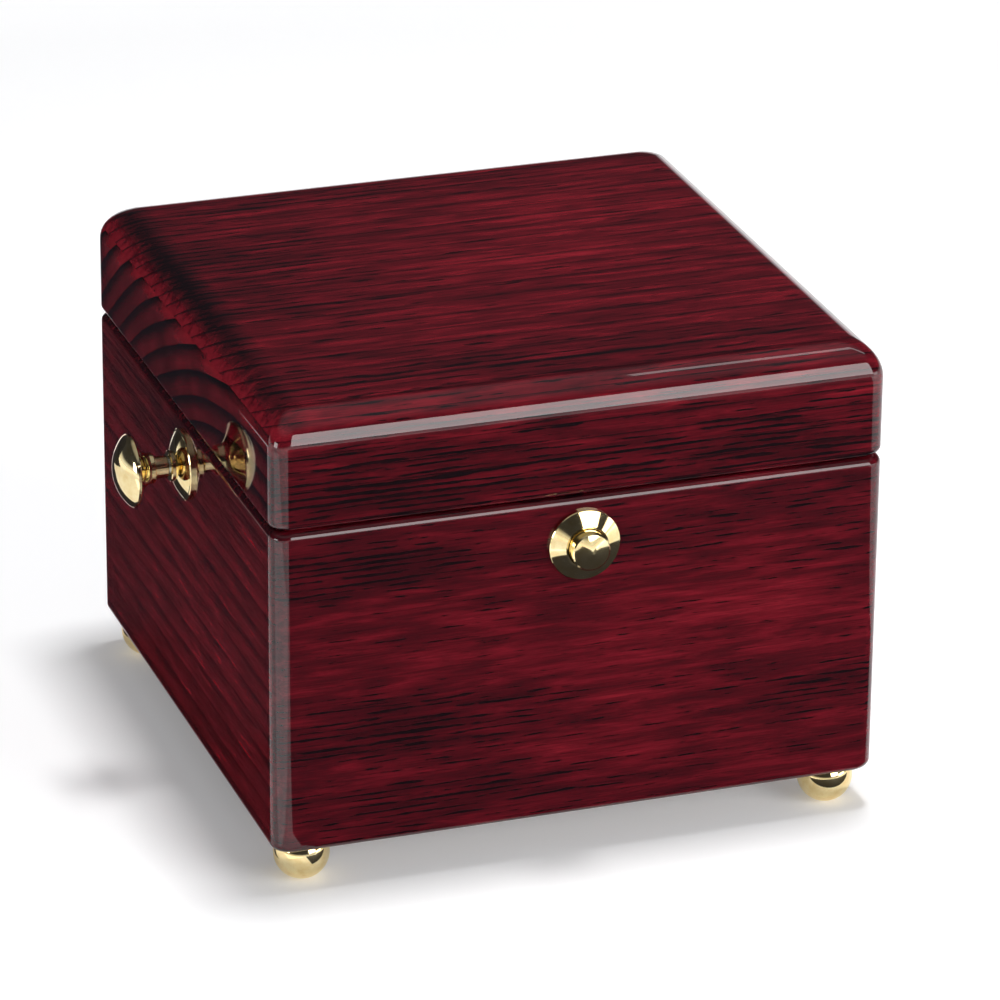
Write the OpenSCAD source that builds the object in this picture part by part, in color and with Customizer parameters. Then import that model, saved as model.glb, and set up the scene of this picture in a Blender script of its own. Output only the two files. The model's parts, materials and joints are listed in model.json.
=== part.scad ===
// Cylinder music box: a lacquered hardwood case on four brass ball feet, with a hinged lid held by a
// push-button catch. A knob on the left side winds the mainspring of the cylinder movement inside.
// Millimetres. The origin lies on the table that the feet stand on, in the middle of the whole box's
// outline with its knob, button and hinges. +Z is up and -Y is the front. The pieces are drawn about the
// middle of the case's underside, and placed() stands them on the table.

/* [Case] */
// Width of the case, left to right
case_w = 140; // [134:1:190]
// Depth of the case, front to back
case_d = 139; // [110:1:190]
// Height of the base, from its underside to the seam
base_h = 76; // [66:1:110]
// Thickness of the side walls
wall_t = 8; // [6:0.5:10]
// Rounding of the four upright edges
corner_r = 4; // [1:0.5:5]
// Rounding of the edges that meet at the seam
seam_r = 1.8; // [0.6:0.2:2.4]
// Rounding of the lowest edges
underside_r = 2.2; // [0.6:0.2:3]
// Thickness of the bottom board
bottom_t = 5; // [4:0.5:8]
// Width of the rebate in the walls that takes the bottom board
rebate_w = 4; // [2:0.5:5]

/* [Lid] */
// Height of the lid
lid_h = 26; // [22:1:40]
// Thickness of the lid's top board
lid_top_t = 9; // [8:0.5:12]
// Rounding of the lid's upper edges
lid_top_r = 8; // [3:0.5:8]
// Gap between the lid and the base at the seam
seam_gap = 0.3; // [0.2:0.1:1]
// Thickness of the velvet pad under the lid's top board
lining_t = 2; // [1:0.5:4]

/* [Hinges] */
// Width of one hinge
hinge_w = 24; // [16:1:36]
// Distance from a side of the case to the middle of the nearer hinge
hinge_inset = 28; // [22:1:40]
// Outside diameter of the knuckles
knuckle_d = 4.2; // [3.6:0.2:5]
// Diameter of the hinge pins
hinge_pin_d = 1.6; // [1:0.1:2]
// Thickness of a hinge leaf
leaf_t = 1.2; // [0.8:0.1:1.6]
// How far a leaf reaches in over the wall
leaf_reach = 6.5; // [5:0.5:7]
// How far the pin lies behind the back face of the case
pin_out = 1.2; // [0.8:0.1:2]
// Angle that the lid opens before the dogs on its knuckles stop it
lid_open = 95; // [70:1:110]

/* [Catch] */
// Drop from the seam to the middle of the push button
button_drop = 11; // [9:0.5:20]
// Diameter of the conical ring round the button
ring_d = 16.2; // [14:0.2:22]
// Thickness of the ring at its rim
ring_rim = 0.9; // [0.6:0.1:1.4]
// Height of the ring round the button
ring_h = 2.4; // [1.6:0.1:3]
// Diameter of the button
button_d = 8.6; // [7:0.2:9]
// How far the tip of the button stands out of the wall
button_out = 6.4; // [5.6:0.2:8]
// Height of the button's conical crown
button_crown = 1.2; // [0.6:0.1:2]
// How far the button travels
button_travel = 2; // [1:0.1:2.4]
// Outside diameter of the sleeve through the wall
sleeve_d = 11; // [10.6:0.2:13]
// Diameter of the button's stem
stem_d = 4; // [3:0.2:5]
// Width of the catch plate
catch_w = 9; // [6:0.5:14]
// Thickness of the catch plate
catch_t = 1.2; // [0.8:0.1:1.6]
// How far the catch plate reaches up past the seam
catch_reach = 6; // [5:0.5:8]
// Width of the striker
striker_w = 18; // [16:1:24]
// Height of the striker
striker_h = 12; // [11:0.5:14]
// Thickness of the striker
striker_t = 1; // [0.8:0.1:1.4]
// Thickness of the nut behind the wall
nut_t = 1.8; // [1.2:0.1:3]

/* [Winding knob] */
// Drop from the seam to the winding arbor
arbor_drop = 10.5; // [9.5:0.5:14]
// Place of the winding arbor behind the middle of the case
arbor_y = -2; // [-8:0.5:6]
// Diameter of the knob's head
knob_d = 16.4; // [12:0.1:24]
// Distance from the wall to the top of the knob's dome
knob_reach = 16.2; // [15:0.1:22]
// Height of the dome on the knob's head
knob_dome = 3.4; // [2:0.1:4]
// Thickness of the rim of the knob's head
knob_rim = 1; // [0.6:0.1:1.6]
// Length of the flare behind the knob's head
knob_flare = 4.5; // [3:0.1:5]
// Diameter of the collar where the flare meets the neck
collar_d = 7; // [6.4:0.1:9]
// Diameter of the knob's neck
neck_d = 5; // [4.4:0.1:7]
// Diameter of the domed rosette on the wall
rosette_d = 16.2; // [14:0.1:24]
// Thickness of the rosette's rim
rosette_rim = 0.9; // [0.6:0.1:1.4]
// Height of the rosette's dome over its rim
rosette_dome = 2.3; // [1.4:0.1:2.6]
// Diameter of the winding arbor
arbor_d = 4; // [3.2:0.1:4.2]
// Teeth of the ratchet wheel
ratchet_teeth = 20; // [16:1:24]
// Radius of the ratchet wheel
ratchet_r = 7; // [6:0.1:7.5]
// Thickness of the ratchet wheel and its click
ratchet_t = 2; // [1.6:0.1:2.4]

/* [Feet] */
// Diameter of a ball foot
foot_d = 12.6; // [10:0.2:15]
// Height of a foot
foot_h = 9.1; // [8.6:0.1:10.2]
// Diameter of the flat that a foot stands on
foot_flat_d = 5; // [4.6:0.1:6]
// Distance from the case's side to the middle of a foot
foot_inset = 8.5; // [8:0.1:20]
// Diameter of the screw up through a foot
foot_screw_d = 2.6; // [2:0.2:2.6]

/* [Movement] */
// Thickness of the wooden deck under the movement
deck_t = 6; // [4:0.5:10]
// Thickness of the bedplate
bed_t = 2.5; // [2:0.25:4]
// Height of the cylinder's axis above the bedplate
shaft_h = 15.5; // [15.5:0.5:20]
// Thickness of the bearing bridges
bridge_t = 2.5; // [2:0.25:4]
// Outside diameter of the spring barrel
barrel_d = 21; // [16:0.5:22]
// Length of the spring barrel
barrel_l = 16; // [10:0.5:18]
// Diameter of the pinned cylinder
drum_d = 15; // [12:0.5:16]
// Length of the pinned cylinder
drum_l = 44; // [43:0.5:50]
// Height of the pins
pin_h = 0.8; // [0.5:0.1:1.2]
// Diameter of the pins
pin_d = 0.45; // [0.3:0.05:0.6]

/* [Comb] */
// Number of teeth on the comb
comb_teeth = 36; // [24:1:36]
// Distance from one tooth to the next
tooth_pitch = 1.15; // [1:0.05:1.2]
// Width of the slot between two teeth
tooth_slot = 0.25; // [0.2:0.05:0.35]
// Length of the longest tooth
tooth_long = 20; // [15:0.5:22]
// Length of the shortest tooth
tooth_short = 10; // [8:0.5:14]
// Thickness of the teeth
tooth_t = 0.8; // [0.5:0.1:1.2]
// Thickness of the comb's solid root
root_t = 2.4; // [1.8:0.2:3]
// Gap between the comb's tips and the tips of the pins
pluck_gap = 0.1; // [0.1:0.05:0.3]

/* [Gears] */
// Module of the gears
gear_m = 0.5; // [0.5:0.01:0.52]
// Width of the wheels
wheel_t = 2.5; // [2:0.25:3.5]
// Teeth of the barrel's great wheel
great_teeth = 48; // [48:2:52]
// Teeth of the pinion on the cylinder arbor
drum_pinion_teeth = 18; // [14:2:20]
// Teeth of the wheel on the cylinder arbor
drum_wheel_teeth = 50; // [44:2:50]
// Teeth of the governor's pinion
fly_pinion_teeth = 12; // [12:2:16]
// Teeth of the worm wheel
worm_wheel_teeth = 24; // [20:2:26]
// Pitch diameter of the worm
worm_d = 4.4; // [4.2:0.1:5]
// Play between meshing teeth
backlash = 0.14; // [0.1:0.01:0.2]

/* [Hidden] */
$fn = 64;

run = 0.05;            // radial clearance of a shaft in its bearing
slide_run = 0.08;      // radial clearance of a sliding stem
air = 0.3;             // gap between parts that pass each other
snug = 0.2;            // gap round a board that is dropped in
eps = 0.01;            // overshoot of a cut

half_w = case_w / 2;
half_d = case_d / 2;
inner_w = case_w - 2 * wall_t;
inner_d = case_d - 2 * wall_t;
lid_z = base_h + seam_gap;
rim_h = lid_h - lid_top_t;

// from the middle of the case's underside to the middle of the whole box's outline on the table
stand_x = knob_reach / 2;
stand_y = (button_out - pin_out - knuckle_d / 2) / 2;

// hinges
hinge_pitch = case_w - 2 * hinge_inset;
hinge_y = half_d + pin_out;
hinge_z = base_h + seam_gap / 2;
knuckle_r = knuckle_d / 2;
knuckle_l = hinge_w / 3;
knuckle_gap = 0.15;
dog_l = 0.8;
dog_root = 0.5;        // how far the dog is let into its knuckle
dog_from = 150;        // where the lid knuckle's dog starts, from +Y towards +Z
dog_arc = 50;
dog_play = 1;
leaf_screw_x = hinge_w / 3;
leaf_screw_y = half_d - leaf_reach / 2;
leaf_screw_d = 1.8;
leaf_screw_l = 8;

// catch
button_z = base_h - button_drop;
inner_front = -half_d + wall_t;
sleeve_bore = button_d + 2 * slide_run;
sleeve_end = inner_front + nut_t + 0.2;
sleeve_l = sleeve_end + half_d;
sleeve_floor = 3;      // thickness of the sleeve's inner end, which guides the stem
ring_land = 0.5;       // width of the flat round the bore at the top of the ring
button_edge = 0.3;
button_tip = -half_d - button_out;
button_back = -half_d + 3;
catch_y = sleeve_end + air;
catch_top = lid_z + catch_reach;
stem_end = catch_y + catch_t + 1;
nose_back = 0.4;       // how far the nose stands back from the striker
nose_h = 1.8;
spring_wire = 0.4;
spring_turns = 3;
strike_gap = 0.4;      // from the lid's lower edge to the striker
pan_screw_d = 1.6;
pan_screw_l = 5;
pan_head_d = 3;
pan_head_h = 0.8;
striker_screw_x = striker_w / 2 - 2.2;
striker_screw_z = lid_z + striker_h - 2.2;

// winding and shafts
axis_z = base_h - arbor_drop;
wall_x = -half_w + wall_t;
rosette_top = rosette_rim + rosette_dome + 0.5;
neck_start = rosette_top + air;
arbor_out = knob_reach - knob_dome;
tube_r = arbor_d / 2 + 1.5;
ratchet_depth = 1.1;
click_gap = 0.12;      // from the click's beak to the tips of the ratchet teeth
click_beak = [arbor_y + (ratchet_r + click_gap) * cos(12), axis_z - (ratchet_r + click_gap) * sin(12)];
click_pivot = click_beak + [2.6, -6.6];
click_r = 2;
click_stud_r = 1;
click_back = [1.5, 0.6];
click_spring_t = 0.4;
ratchet_x = wall_x + 5;
left_bridge_x = ratchet_x + ratchet_t + 1;
barrel_x = left_bridge_x + bridge_t + 0.6;
great_x = barrel_x + barrel_l;
middle_bridge_x = great_x + wheel_t + 1;
drum_x = middle_bridge_x + bridge_t + 1.5;
drum_wheel_x = drum_x + drum_l + 1.2;
right_bridge_x = drum_wheel_x + wheel_t + 2.2;
cheek_t = 1.6;
cheek_w = 6;
left_cheek_x = drum_wheel_x + wheel_t + 1.1;
worm_wheel_t = 1.2;
worm_wheel_x = left_cheek_x + cheek_t + 1.6;
worm_x = worm_wheel_x + worm_wheel_t / 2;
right_cheek_x = worm_wheel_x + worm_wheel_t + 2.2;

cyl_y = arbor_y + gear_m * (great_teeth + drum_pinion_teeth) / 2;
gov_y = cyl_y - gear_m * (drum_wheel_teeth + fly_pinion_teeth) / 2;
worm_y = gov_y - gear_m * worm_wheel_teeth / 2 - worm_d / 2;

pressure = 25;
addendum = 0.9;
dedendum = 1.15;

barrel_wall = 1;
core_r = 3;
pivot_r = 1.5;
shaft_r = 1.5;
gov_shaft_r = 1;
gov_pivot_r = 0.6;
fly_shaft_r = 1;
fly_pivot_r = 0.5;
drum_wall = 1.2;

// bedplate and deck
plate_top = axis_z - shaft_h;
bed_z = plate_top - bed_t;
deck_z = bed_z - deck_t;
cleat_w = 8;
cleat_h = 10;
bed_x0 = left_bridge_x - 2;
bed_x1 = right_cheek_x + 20;
bed_y1 = cyl_y + 10;

// comb
comb_w = comb_teeth * tooth_pitch;
comb_x0 = drum_x + (drum_l - comb_w) / 2;
comb_tip_y = cyl_y - drum_d / 2 - pin_h - pluck_gap;
comb_root_l = 8;
comb_back_y = comb_tip_y - tooth_long - comb_root_l;
comb_low = axis_z - tooth_t / 2 - (root_t - tooth_t);
comb_hole_y = comb_back_y + comb_root_l / 2 - 0.6;
comb_screw_d = 2.2;
comb_head_d = 4.2;
comb_head_h = 1.5;
comb_bite = 6;         // how far the comb's screws go into the bar
comb_screw_x = [for (k = [0 : 3]) comb_x0 + comb_w * (k + 0.5) / 4];
lead_teeth = 14;
lead_l = 3;
lead_h = 2.6;
lead_back = 2.4;       // from the tips of the teeth to the leads
bar_foot = 16;
bed_y0 = comb_back_y - 3;

// feet
foot_head_r = foot_screw_d / 2 + 0.7;
foot_head_h = 2;
foot_centre = foot_h - sqrt(pow(foot_d / 2, 2) - pow(foot_flat_d / 2, 2));

// comb bar
bar_foot_t = 3;
bar_web = 7;

// the tune is a plain study in broken chords: each voice keeps to its own band of teeth
beats = 48;
pin_start = 6;         // angle of the first beat, clear of the comb
pin_places = concat(
  [for (s = [0 : beats - 1]) if (s % 6 != 5) [min(comb_teeth - 1, melody(s)), s]],
  [for (s = [0 : beats - 1]) if (s % 2 == 0) [chord(s / 2), s]],
  [for (s = [0 : 4 : beats - 1]) [bass(s), s]],
  [for (s = [0 : beats - 1]) if (s % 3 == 1 && treble(s) < comb_teeth) [treble(s), s]],
  [for (s = [0 : beats - 1]) if (s % 4 == 3) [14 + floor(s / 4) % 3, s]]);

// governor
frame_t = 2;           // thickness of the governor frame's base
frame_x0 = left_cheek_x;
frame_x1 = right_cheek_x + cheek_t;
post_t = 3;
post_w = 7;
arm_w = 5;             // width of the arm over the fly
fly_r = 5;
fly_h = 5;
worm_pitch = PI * gear_m;
worm_turns = 4;
worm_root_r = worm_d / 2 - dedendum * gear_m;
worm_tip_r = worm_d / 2 + addendum * gear_m;
worm_z = axis_z + worm_pitch / 2 - worm_turns / 2 * worm_pitch;
fly_z = axis_z + gear_m * (worm_wheel_teeth / 2 + 1) + 0.6;
top_arm_z = fly_z + fly_h + 1;
top_arm_t = 1.6;
brake_r = 3.2;
brake_z = plate_top + frame_t + 1.6;
brake_t = 1.2;
brake_gap = 0.12;      // from the lever's shoe to the brake disc
lever_w = 2.4;
lever_swing = 7;
lever_boss_r = 3;
lever_tail = 8;
pad_r = 2;             // the lever's finger pad
pad_h = 3;
lever_pivot = [frame_x1 + 9.5, worm_y - brake_r - brake_gap - lever_w / 2];
lever_end = worm_x - 1.5;
lever_back_y = lever_pivot[1] - lever_w / 2 - (lever_pivot[0] - lever_end) * sin(lever_swing) - 2 * air;
post_y = min(worm_y - fly_r - 0.8, lever_back_y) - post_t;

// screws of the movement: x, y and the height that each head sits at
screw_d = 2.2;
foot_t = 2.2;          // thickness of a bridge's foot
foot_w = 7;            // how far a bridge's foot reaches from its plate
ear_w = 6;             // width of each screwed foot
web_h = 6;             // height of the low web that joins a bridge's feet
boss_r = 5;            // half the width of a bridge at a bearing
arbor_boss_r = 6;      // the same at the winding arbor
barrel_clear = 4;      // from the barrel to the middle of a screw
feet_half = 4.5;       // half the distance between the right bridge's screws
bridge_feet = [
  [left_bridge_x + bridge_t + foot_w / 2, arbor_y - barrel_d / 2 - barrel_clear],
  [left_bridge_x + bridge_t + foot_w / 2, arbor_y + barrel_d / 2 + barrel_clear],
  [middle_bridge_x - foot_w / 2, arbor_y - barrel_d / 2 - barrel_clear],
  [middle_bridge_x - foot_w / 2, cyl_y + ear_w],
  [right_bridge_x + bridge_t + foot_w / 2, cyl_y - feet_half],
  [right_bridge_x + bridge_t + foot_w / 2, cyl_y + feet_half]
];
frame_screws = [[frame_x1 + 2.6, gov_y - 2], [frame_x1 + 2.6, post_y + 2]];
bar_screws = [for (k = [0, 1]) [comb_x0 + comb_w * (0.25 + 0.5 * k), comb_back_y + bar_foot - 3]];

// ---- helpers ----

// stands a flat profile across the case, so that its X becomes Y, its Y becomes Z and it is swept along X
module along_x(x, l) {
  translate([x, 0, 0]) rotate([90, 0, 90]) linear_extrude(l) children();
}

// a round bar along X
module bar_x(x, l, y, z, r) {
  translate([x, y, z]) rotate([0, 90, 0]) cylinder(h = l, r = r);
}

// a turned piece along X, from a profile of radius against distance, which points towards -X
module turned_left(x, y, z) {
  translate([x, y, z]) rotate([0, -90, 0]) rotate_extrude() children();
}

// a turned piece along Y, from a profile of radius against distance, which points towards -Y
module turned_front(x, y, z) {
  translate([x, y, z]) rotate([90, 0, 0]) rotate_extrude() children();
}

module rounded_rect(w, d, r) {
  square([w, d - 2 * r], center = true);
  square([w - 2 * r, d], center = true);
  for (sx = [-1, 1], sy = [-1, 1]) translate([sx * (w / 2 - r), sy * (d / 2 - r)]) circle(r);
}

// outline of a slab seen from its end, standing on zero, with its lower and upper corners rounded
module end_profile(w, h, low_r, high_r) {
  translate([-w / 2, low_r]) square([w, h - low_r - high_r]);
  translate([-w / 2 + low_r, 0]) square([w - 2 * low_r, h / 2]);
  translate([-w / 2 + high_r, h / 2]) square([w - 2 * high_r, h / 2]);
  for (s = [-1, 1]) {
    translate([s * (w / 2 - low_r), low_r]) circle(low_r);
    translate([s * (w / 2 - high_r), h - high_r]) circle(high_r);
  }
}

// a block of the case's plan, with every outer edge rounded
module case_block(h, low_r, high_r) {
  intersection() {
    linear_extrude(h) rounded_rect(case_w, case_d, corner_r);
    rotate([90, 0, 0]) translate([0, 0, -half_d])
      linear_extrude(case_d) end_profile(case_w, h, low_r, high_r);
    along_x(-half_w, case_w) end_profile(case_d, h, low_r, high_r);
  }
}

// plan of one mitred wall: 0 is the front, then round to the right
module mitre_plan(side) {
  outer = [[-half_w, -half_d], [half_w, -half_d], [half_w, half_d], [-half_w, half_d]];
  inner = [for (p = outer) [p[0] - sign(p[0]) * wall_t, p[1] - sign(p[1]) * wall_t]];
  next = (side + 1) % 4;
  polygon([outer[side], outer[next], inner[next], inner[side]]);
}

module base_wall(side) {
  difference() {
    intersection() {
      case_block(base_h, underside_r, seam_r);
      linear_extrude(base_h) mitre_plan(side);
    }
    translate([0, 0, -eps]) linear_extrude(bottom_t + eps)
      square([inner_w + 2 * rebate_w, inner_d + 2 * rebate_w], center = true);
  }
}

module lid_rim(side) {
  intersection() {
    translate([0, 0, lid_z]) case_block(lid_h, seam_r, lid_top_r);
    translate([0, 0, lid_z]) linear_extrude(rim_h) mitre_plan(side);
  }
}

// a flat-headed screw pointing down, with its head's underside at the origin
module cheese_screw(d, l, head_d, head_h) {
  difference() {
    union() {
      cylinder(h = head_h, d = head_d);
      translate([0, 0, -l]) cylinder(h = l + eps, d = d);
    }
    translate([-head_d, -d / 8, head_h * 0.5]) cube([2 * head_d, d / 4, head_h]);
  }
}

// a countersunk screw pointing down, with its head's face at the origin
module countersunk_screw(d, l) {
  difference() {
    union() {
      translate([0, 0, -d / 2]) cylinder(h = d / 2, r1 = d / 2, r2 = d);
      translate([0, 0, -l]) cylinder(h = l - d / 2 + eps, d = d);
    }
    translate([-d, -d / 8, -d / 5]) cube([2 * d, d / 4, d]);
  }
}

module countersunk_hole(d, l) {
  translate([0, 0, -d / 2]) cylinder(h = d / 2 + eps, r1 = d / 2, r2 = d + eps);
  translate([0, 0, -l]) cylinder(h = l, d = d);
}

// ---- gear teeth ----

function inv(a) = tan(a) * 180 / PI - a;

// half the angle of a tooth at radius r, for a wheel of n teeth
function tooth_half(n, r) =
  let (rb = gear_m * n / 2 * cos(pressure), a = acos(min(1, rb / max(r, rb))))
  90 / n - backlash / (4 * gear_m * n / 2) * 180 / PI + inv(pressure) - inv(a);

function gear_points(n) =
  let (
    rp = gear_m * n / 2,
    root = rp - dedendum * gear_m,
    tip = rp + addendum * gear_m,
    low = max(root, rp * cos(pressure)),
    rise = concat([root], [for (k = [0 : 3]) low + (tip - low) * k / 3])
  )
  [for (t = [0 : n - 1])
    let (mid = 360 * t / n)
    each concat(
      [for (r = rise) let (a = mid - tooth_half(n, r)) r * [cos(a), sin(a)]],
      [for (k = [len(rise) - 1 : -1 : 0])
        let (r = rise[k], a = mid + tooth_half(n, r)) r * [cos(a), sin(a)]])];

// a wheel on an axis along X, with one tooth turned to the given angle from +Y
module gear_x(n, x, l, y, turn) {
  translate([x, y, axis_z]) rotate([90, 0, 90]) rotate([0, 0, turn])
    linear_extrude(l) polygon(gear_points(n));
}

// ---- case ----

module front_wall() {
  color("#6a1820") difference() {
    base_wall(0);
    translate([0, inner_front + 1, button_z]) rotate([90, 0, 0]) cylinder(h = wall_t + 2, d = sleeve_d);
  }
}

module right_wall() {
  color("#6a1820") base_wall(1);
}

module back_wall() {
  color("#6a1820") difference() {
    base_wall(2);
    for (s = [-1, 1]) {
      translate([s * hinge_pitch / 2 - hinge_w / 2, half_d - leaf_reach, base_h - leaf_t])
        cube([hinge_w, leaf_reach + 1, leaf_t + 1]);
      bar_x(s * hinge_pitch / 2 - hinge_w / 2, hinge_w, hinge_y, hinge_z, knuckle_r + air);
      leaf_holes(s) translate([0, 0, base_h])
        cylinder(h = 2 * leaf_screw_l, d = leaf_screw_d, center = true);
    }
  }
}

module left_wall() {
  color("#6a1820") difference() {
    base_wall(3);
    bar_x(-half_w - 1, wall_t + 2, arbor_y, axis_z, tube_r);
  }
}

module bottom_board() {
  color("#7a3b2a") difference() {
    linear_extrude(bottom_t) square([inner_w + 2 * rebate_w, inner_d + 2 * rebate_w], center = true);
    foot_places() translate([0, 0, -eps]) cylinder(h = bottom_t - 0.5, d = foot_screw_d);
  }
}

module movement_deck() {
  color("#7a3b2a") difference() {
    translate([0, 0, deck_z]) linear_extrude(deck_t)
      square([inner_w - 2 * snug, inner_d - 2 * snug], center = true);
    for (p = bridge_feet) translate([p[0], p[1], deck_z - 1]) cylinder(h = deck_t + 2, d = screw_d);
  }
}

module deck_cleats() {
  color("#7a3b2a") for (s = [-1, 1])
    translate([s * (inner_w / 2 - cleat_w / 2) - cleat_w / 2, -inner_d / 2, deck_z - cleat_h])
      cube([cleat_w, inner_d, cleat_h]);
}

// ---- feet ----

module foot_places() {
  for (c = [[-1, -1], [1, -1], [1, 1], [-1, 1]])
    translate([c[0] * (half_w - foot_inset), c[1] * (half_d - foot_inset), 0]) children();
}

// a ball foot, cut flat above and below, with a sunk hole for its screw
module ball_foot(cx, cy) {
  color("#d9b25a") translate([cx * (half_w - foot_inset), cy * (half_d - foot_inset), 0]) difference() {
    intersection() {
      translate([0, 0, -foot_centre]) sphere(d = foot_d);
      translate([0, 0, -foot_h]) cylinder(h = foot_h, d = foot_d + 1);
    }
    translate([0, 0, -foot_h - eps]) cylinder(h = foot_h + 1, d = foot_screw_d);
    translate([0, 0, -foot_h - eps]) cylinder(h = foot_h / 2 + eps, r = foot_head_r + 0.2);
  }
}

module foot_screws() {
  color("#b9bcc0") foot_places() difference() {
    union() {
      translate([0, 0, -foot_h / 2 - foot_head_h]) cylinder(h = foot_head_h, r = foot_head_r);
      translate([0, 0, -foot_h / 2 - eps]) cylinder(h = foot_h / 2 + bottom_t - 1, d = foot_screw_d);
    }
    translate([-foot_d / 2, -0.4, -foot_h / 2 - foot_head_h - eps]) cube([foot_d, 0.8, 0.8]);
  }
}

// ---- lid ----

module lid_top_board() {
  color("#6a1820") intersection() {
    translate([0, 0, lid_z]) case_block(lid_h, seam_r, lid_top_r);
    translate([-case_w, -case_d, lid_z + rim_h]) cube([2 * case_w, 2 * case_d, lid_h]);
  }
}

module lid_front_rim() {
  color("#6a1820") difference() {
    lid_rim(0);
    for (s = [-1, 1]) translate([s * striker_screw_x, inner_front + 1, striker_screw_z])
      rotate([90, 0, 0]) cylinder(h = pan_screw_l + 1, d = pan_screw_d);
  }
}

module lid_right_rim() {
  color("#6a1820") lid_rim(1);
}

module lid_back_rim() {
  color("#6a1820") difference() {
    lid_rim(2);
    for (s = [-1, 1]) {
      translate([s * hinge_pitch / 2 - hinge_w / 2, half_d - leaf_reach, lid_z - 1])
        cube([hinge_w, leaf_reach + 1, leaf_t + 1]);
      bar_x(s * hinge_pitch / 2 - hinge_w / 2, hinge_w, hinge_y, hinge_z, knuckle_r + air);
      leaf_holes(s) translate([0, 0, lid_z]) cylinder(h = 2 * leaf_screw_l, d = leaf_screw_d, center = true);
    }
  }
}

module lid_left_rim() {
  color("#6a1820") lid_rim(3);
}

module lid_lining() {
  color("#4a1226") translate([0, 0, lid_z + rim_h - lining_t]) linear_extrude(lining_t)
    rounded_rect(inner_w - 2 * snug, inner_d - 2 * snug, 2);
}

// ---- hinges ----

module leaf_holes(s) {
  for (t = [-1, 1]) translate([s * hinge_pitch / 2 + t * leaf_screw_x, leaf_screw_y, 0]) children();
}

// the ring-shaped sector that a knuckle's stop dog fills
module dog_sector(x, l, from, arc, inner_r, outer_r) {
  translate([x, hinge_y, hinge_z]) rotate([90, 0, 90]) rotate([0, 0, from])
    rotate_extrude(angle = arc) translate([inner_r, 0]) square([outer_r - inner_r, l]);
}

module base_leaf(s) {
  x0 = s * hinge_pitch / 2 - hinge_w / 2;
  color("#d9b25a") difference() {
    union() {
      translate([x0, half_d - leaf_reach, base_h - leaf_t]) cube([hinge_w, leaf_reach + pin_out, leaf_t]);
      for (k = [0, 2]) bar_x(x0 + k * knuckle_l, knuckle_l, hinge_y, hinge_z, knuckle_r);
    }
    bar_x(x0 + knuckle_l - knuckle_gap, knuckle_l + 2 * knuckle_gap, hinge_y, hinge_z, knuckle_r + air);
    bar_x(x0 - 1, hinge_w + 2, hinge_y, hinge_z, hinge_pin_d / 2);
    dog_sector(x0 + 2 * knuckle_l + knuckle_gap - eps, dog_l + eps, dog_from - lid_open - dog_play,
      dog_arc + lid_open + 2 * dog_play, hinge_pin_d / 2 - 0.1, knuckle_r + 1);
    leaf_holes(s) translate([0, 0, base_h]) countersunk_hole(leaf_screw_d, leaf_t + 1);
  }
}

module lid_leaf(s) {
  x0 = s * hinge_pitch / 2 - hinge_w / 2;
  middle = x0 + knuckle_l + knuckle_gap;
  color("#d9b25a") difference() {
    union() {
      difference() {
        translate([x0, half_d - leaf_reach, lid_z]) cube([hinge_w, leaf_reach + pin_out, leaf_t]);
        for (x = [x0 - 1, x0 + 2 * knuckle_l - knuckle_gap])
          bar_x(x, knuckle_l + knuckle_gap + 1, hinge_y, hinge_z, knuckle_r + air);
      }
      bar_x(middle, knuckle_l - 2 * knuckle_gap, hinge_y, hinge_z, knuckle_r);
      dog_sector(middle + knuckle_l - 2 * knuckle_gap - dog_root, dog_l + dog_root, dog_from, dog_arc,
        hinge_pin_d / 2 + run + 0.1, knuckle_r - 0.1);
    }
    bar_x(x0 - 1, hinge_w + 2, hinge_y, hinge_z, hinge_pin_d / 2 + run);
    leaf_holes(s) translate([0, 0, lid_z]) mirror([0, 0, 1]) countersunk_hole(leaf_screw_d, leaf_t + 1);
  }
}

module hinge_pins() {
  color("#c9a24e") for (s = [-1, 1])
    bar_x(s * hinge_pitch / 2 - hinge_w / 2, hinge_w, hinge_y, hinge_z, hinge_pin_d / 2);
}

module base_hinge_screws() {
  color("#d9b25a") for (s = [-1, 1]) leaf_holes(s)
    translate([0, 0, base_h]) countersunk_screw(leaf_screw_d, leaf_screw_l);
}

module lid_hinge_screws() {
  color("#d9b25a") for (s = [-1, 1]) leaf_holes(s)
    translate([0, 0, lid_z]) mirror([0, 0, 1]) countersunk_screw(leaf_screw_d, leaf_screw_l);
}

// ---- catch ----

module catch_ring() {
  color("#d9b25a") difference() {
    turned_front(0, -half_d, button_z) {
      polygon([
        [0, 0], [ring_d / 2, 0], [ring_d / 2, ring_rim],
        [sleeve_bore / 2 + ring_land, ring_h], [0, ring_h]]);
      translate([0, -sleeve_l]) square([sleeve_d / 2, sleeve_l + eps]);
    }
    turned_front(0, -half_d, button_z)
      translate([0, sleeve_floor - sleeve_l]) square([sleeve_bore / 2, sleeve_l + ring_h]);
    turned_front(0, -half_d, button_z)
      translate([0, -sleeve_l - 1]) square([stem_d / 2 + slide_run, sleeve_floor + 2]);
  }
}

module catch_nut() {
  color("#b9bcc0") translate([0, inner_front + nut_t, button_z]) rotate([90, 0, 0]) difference() {
    cylinder(h = nut_t, d = sleeve_d + 4.5, $fn = 6);
    translate([0, 0, -1]) cylinder(h = nut_t + 2, d = sleeve_d);
  }
}

// the button: a plain head with a shallow conical crown, and a stem that carries the catch plate
module catch_button() {
  head_r = button_d / 2;
  head_l = button_back - button_tip;
  color("#d9b25a") turned_front(0, button_tip, button_z) {
    polygon([
      [0, 0], [head_r - button_edge, -button_crown], [head_r, -button_crown - button_edge],
      [head_r, -head_l], [stem_d / 2, -head_l], [stem_d / 2, button_tip - stem_end],
      [0, button_tip - stem_end]]);
  }
}

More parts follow.
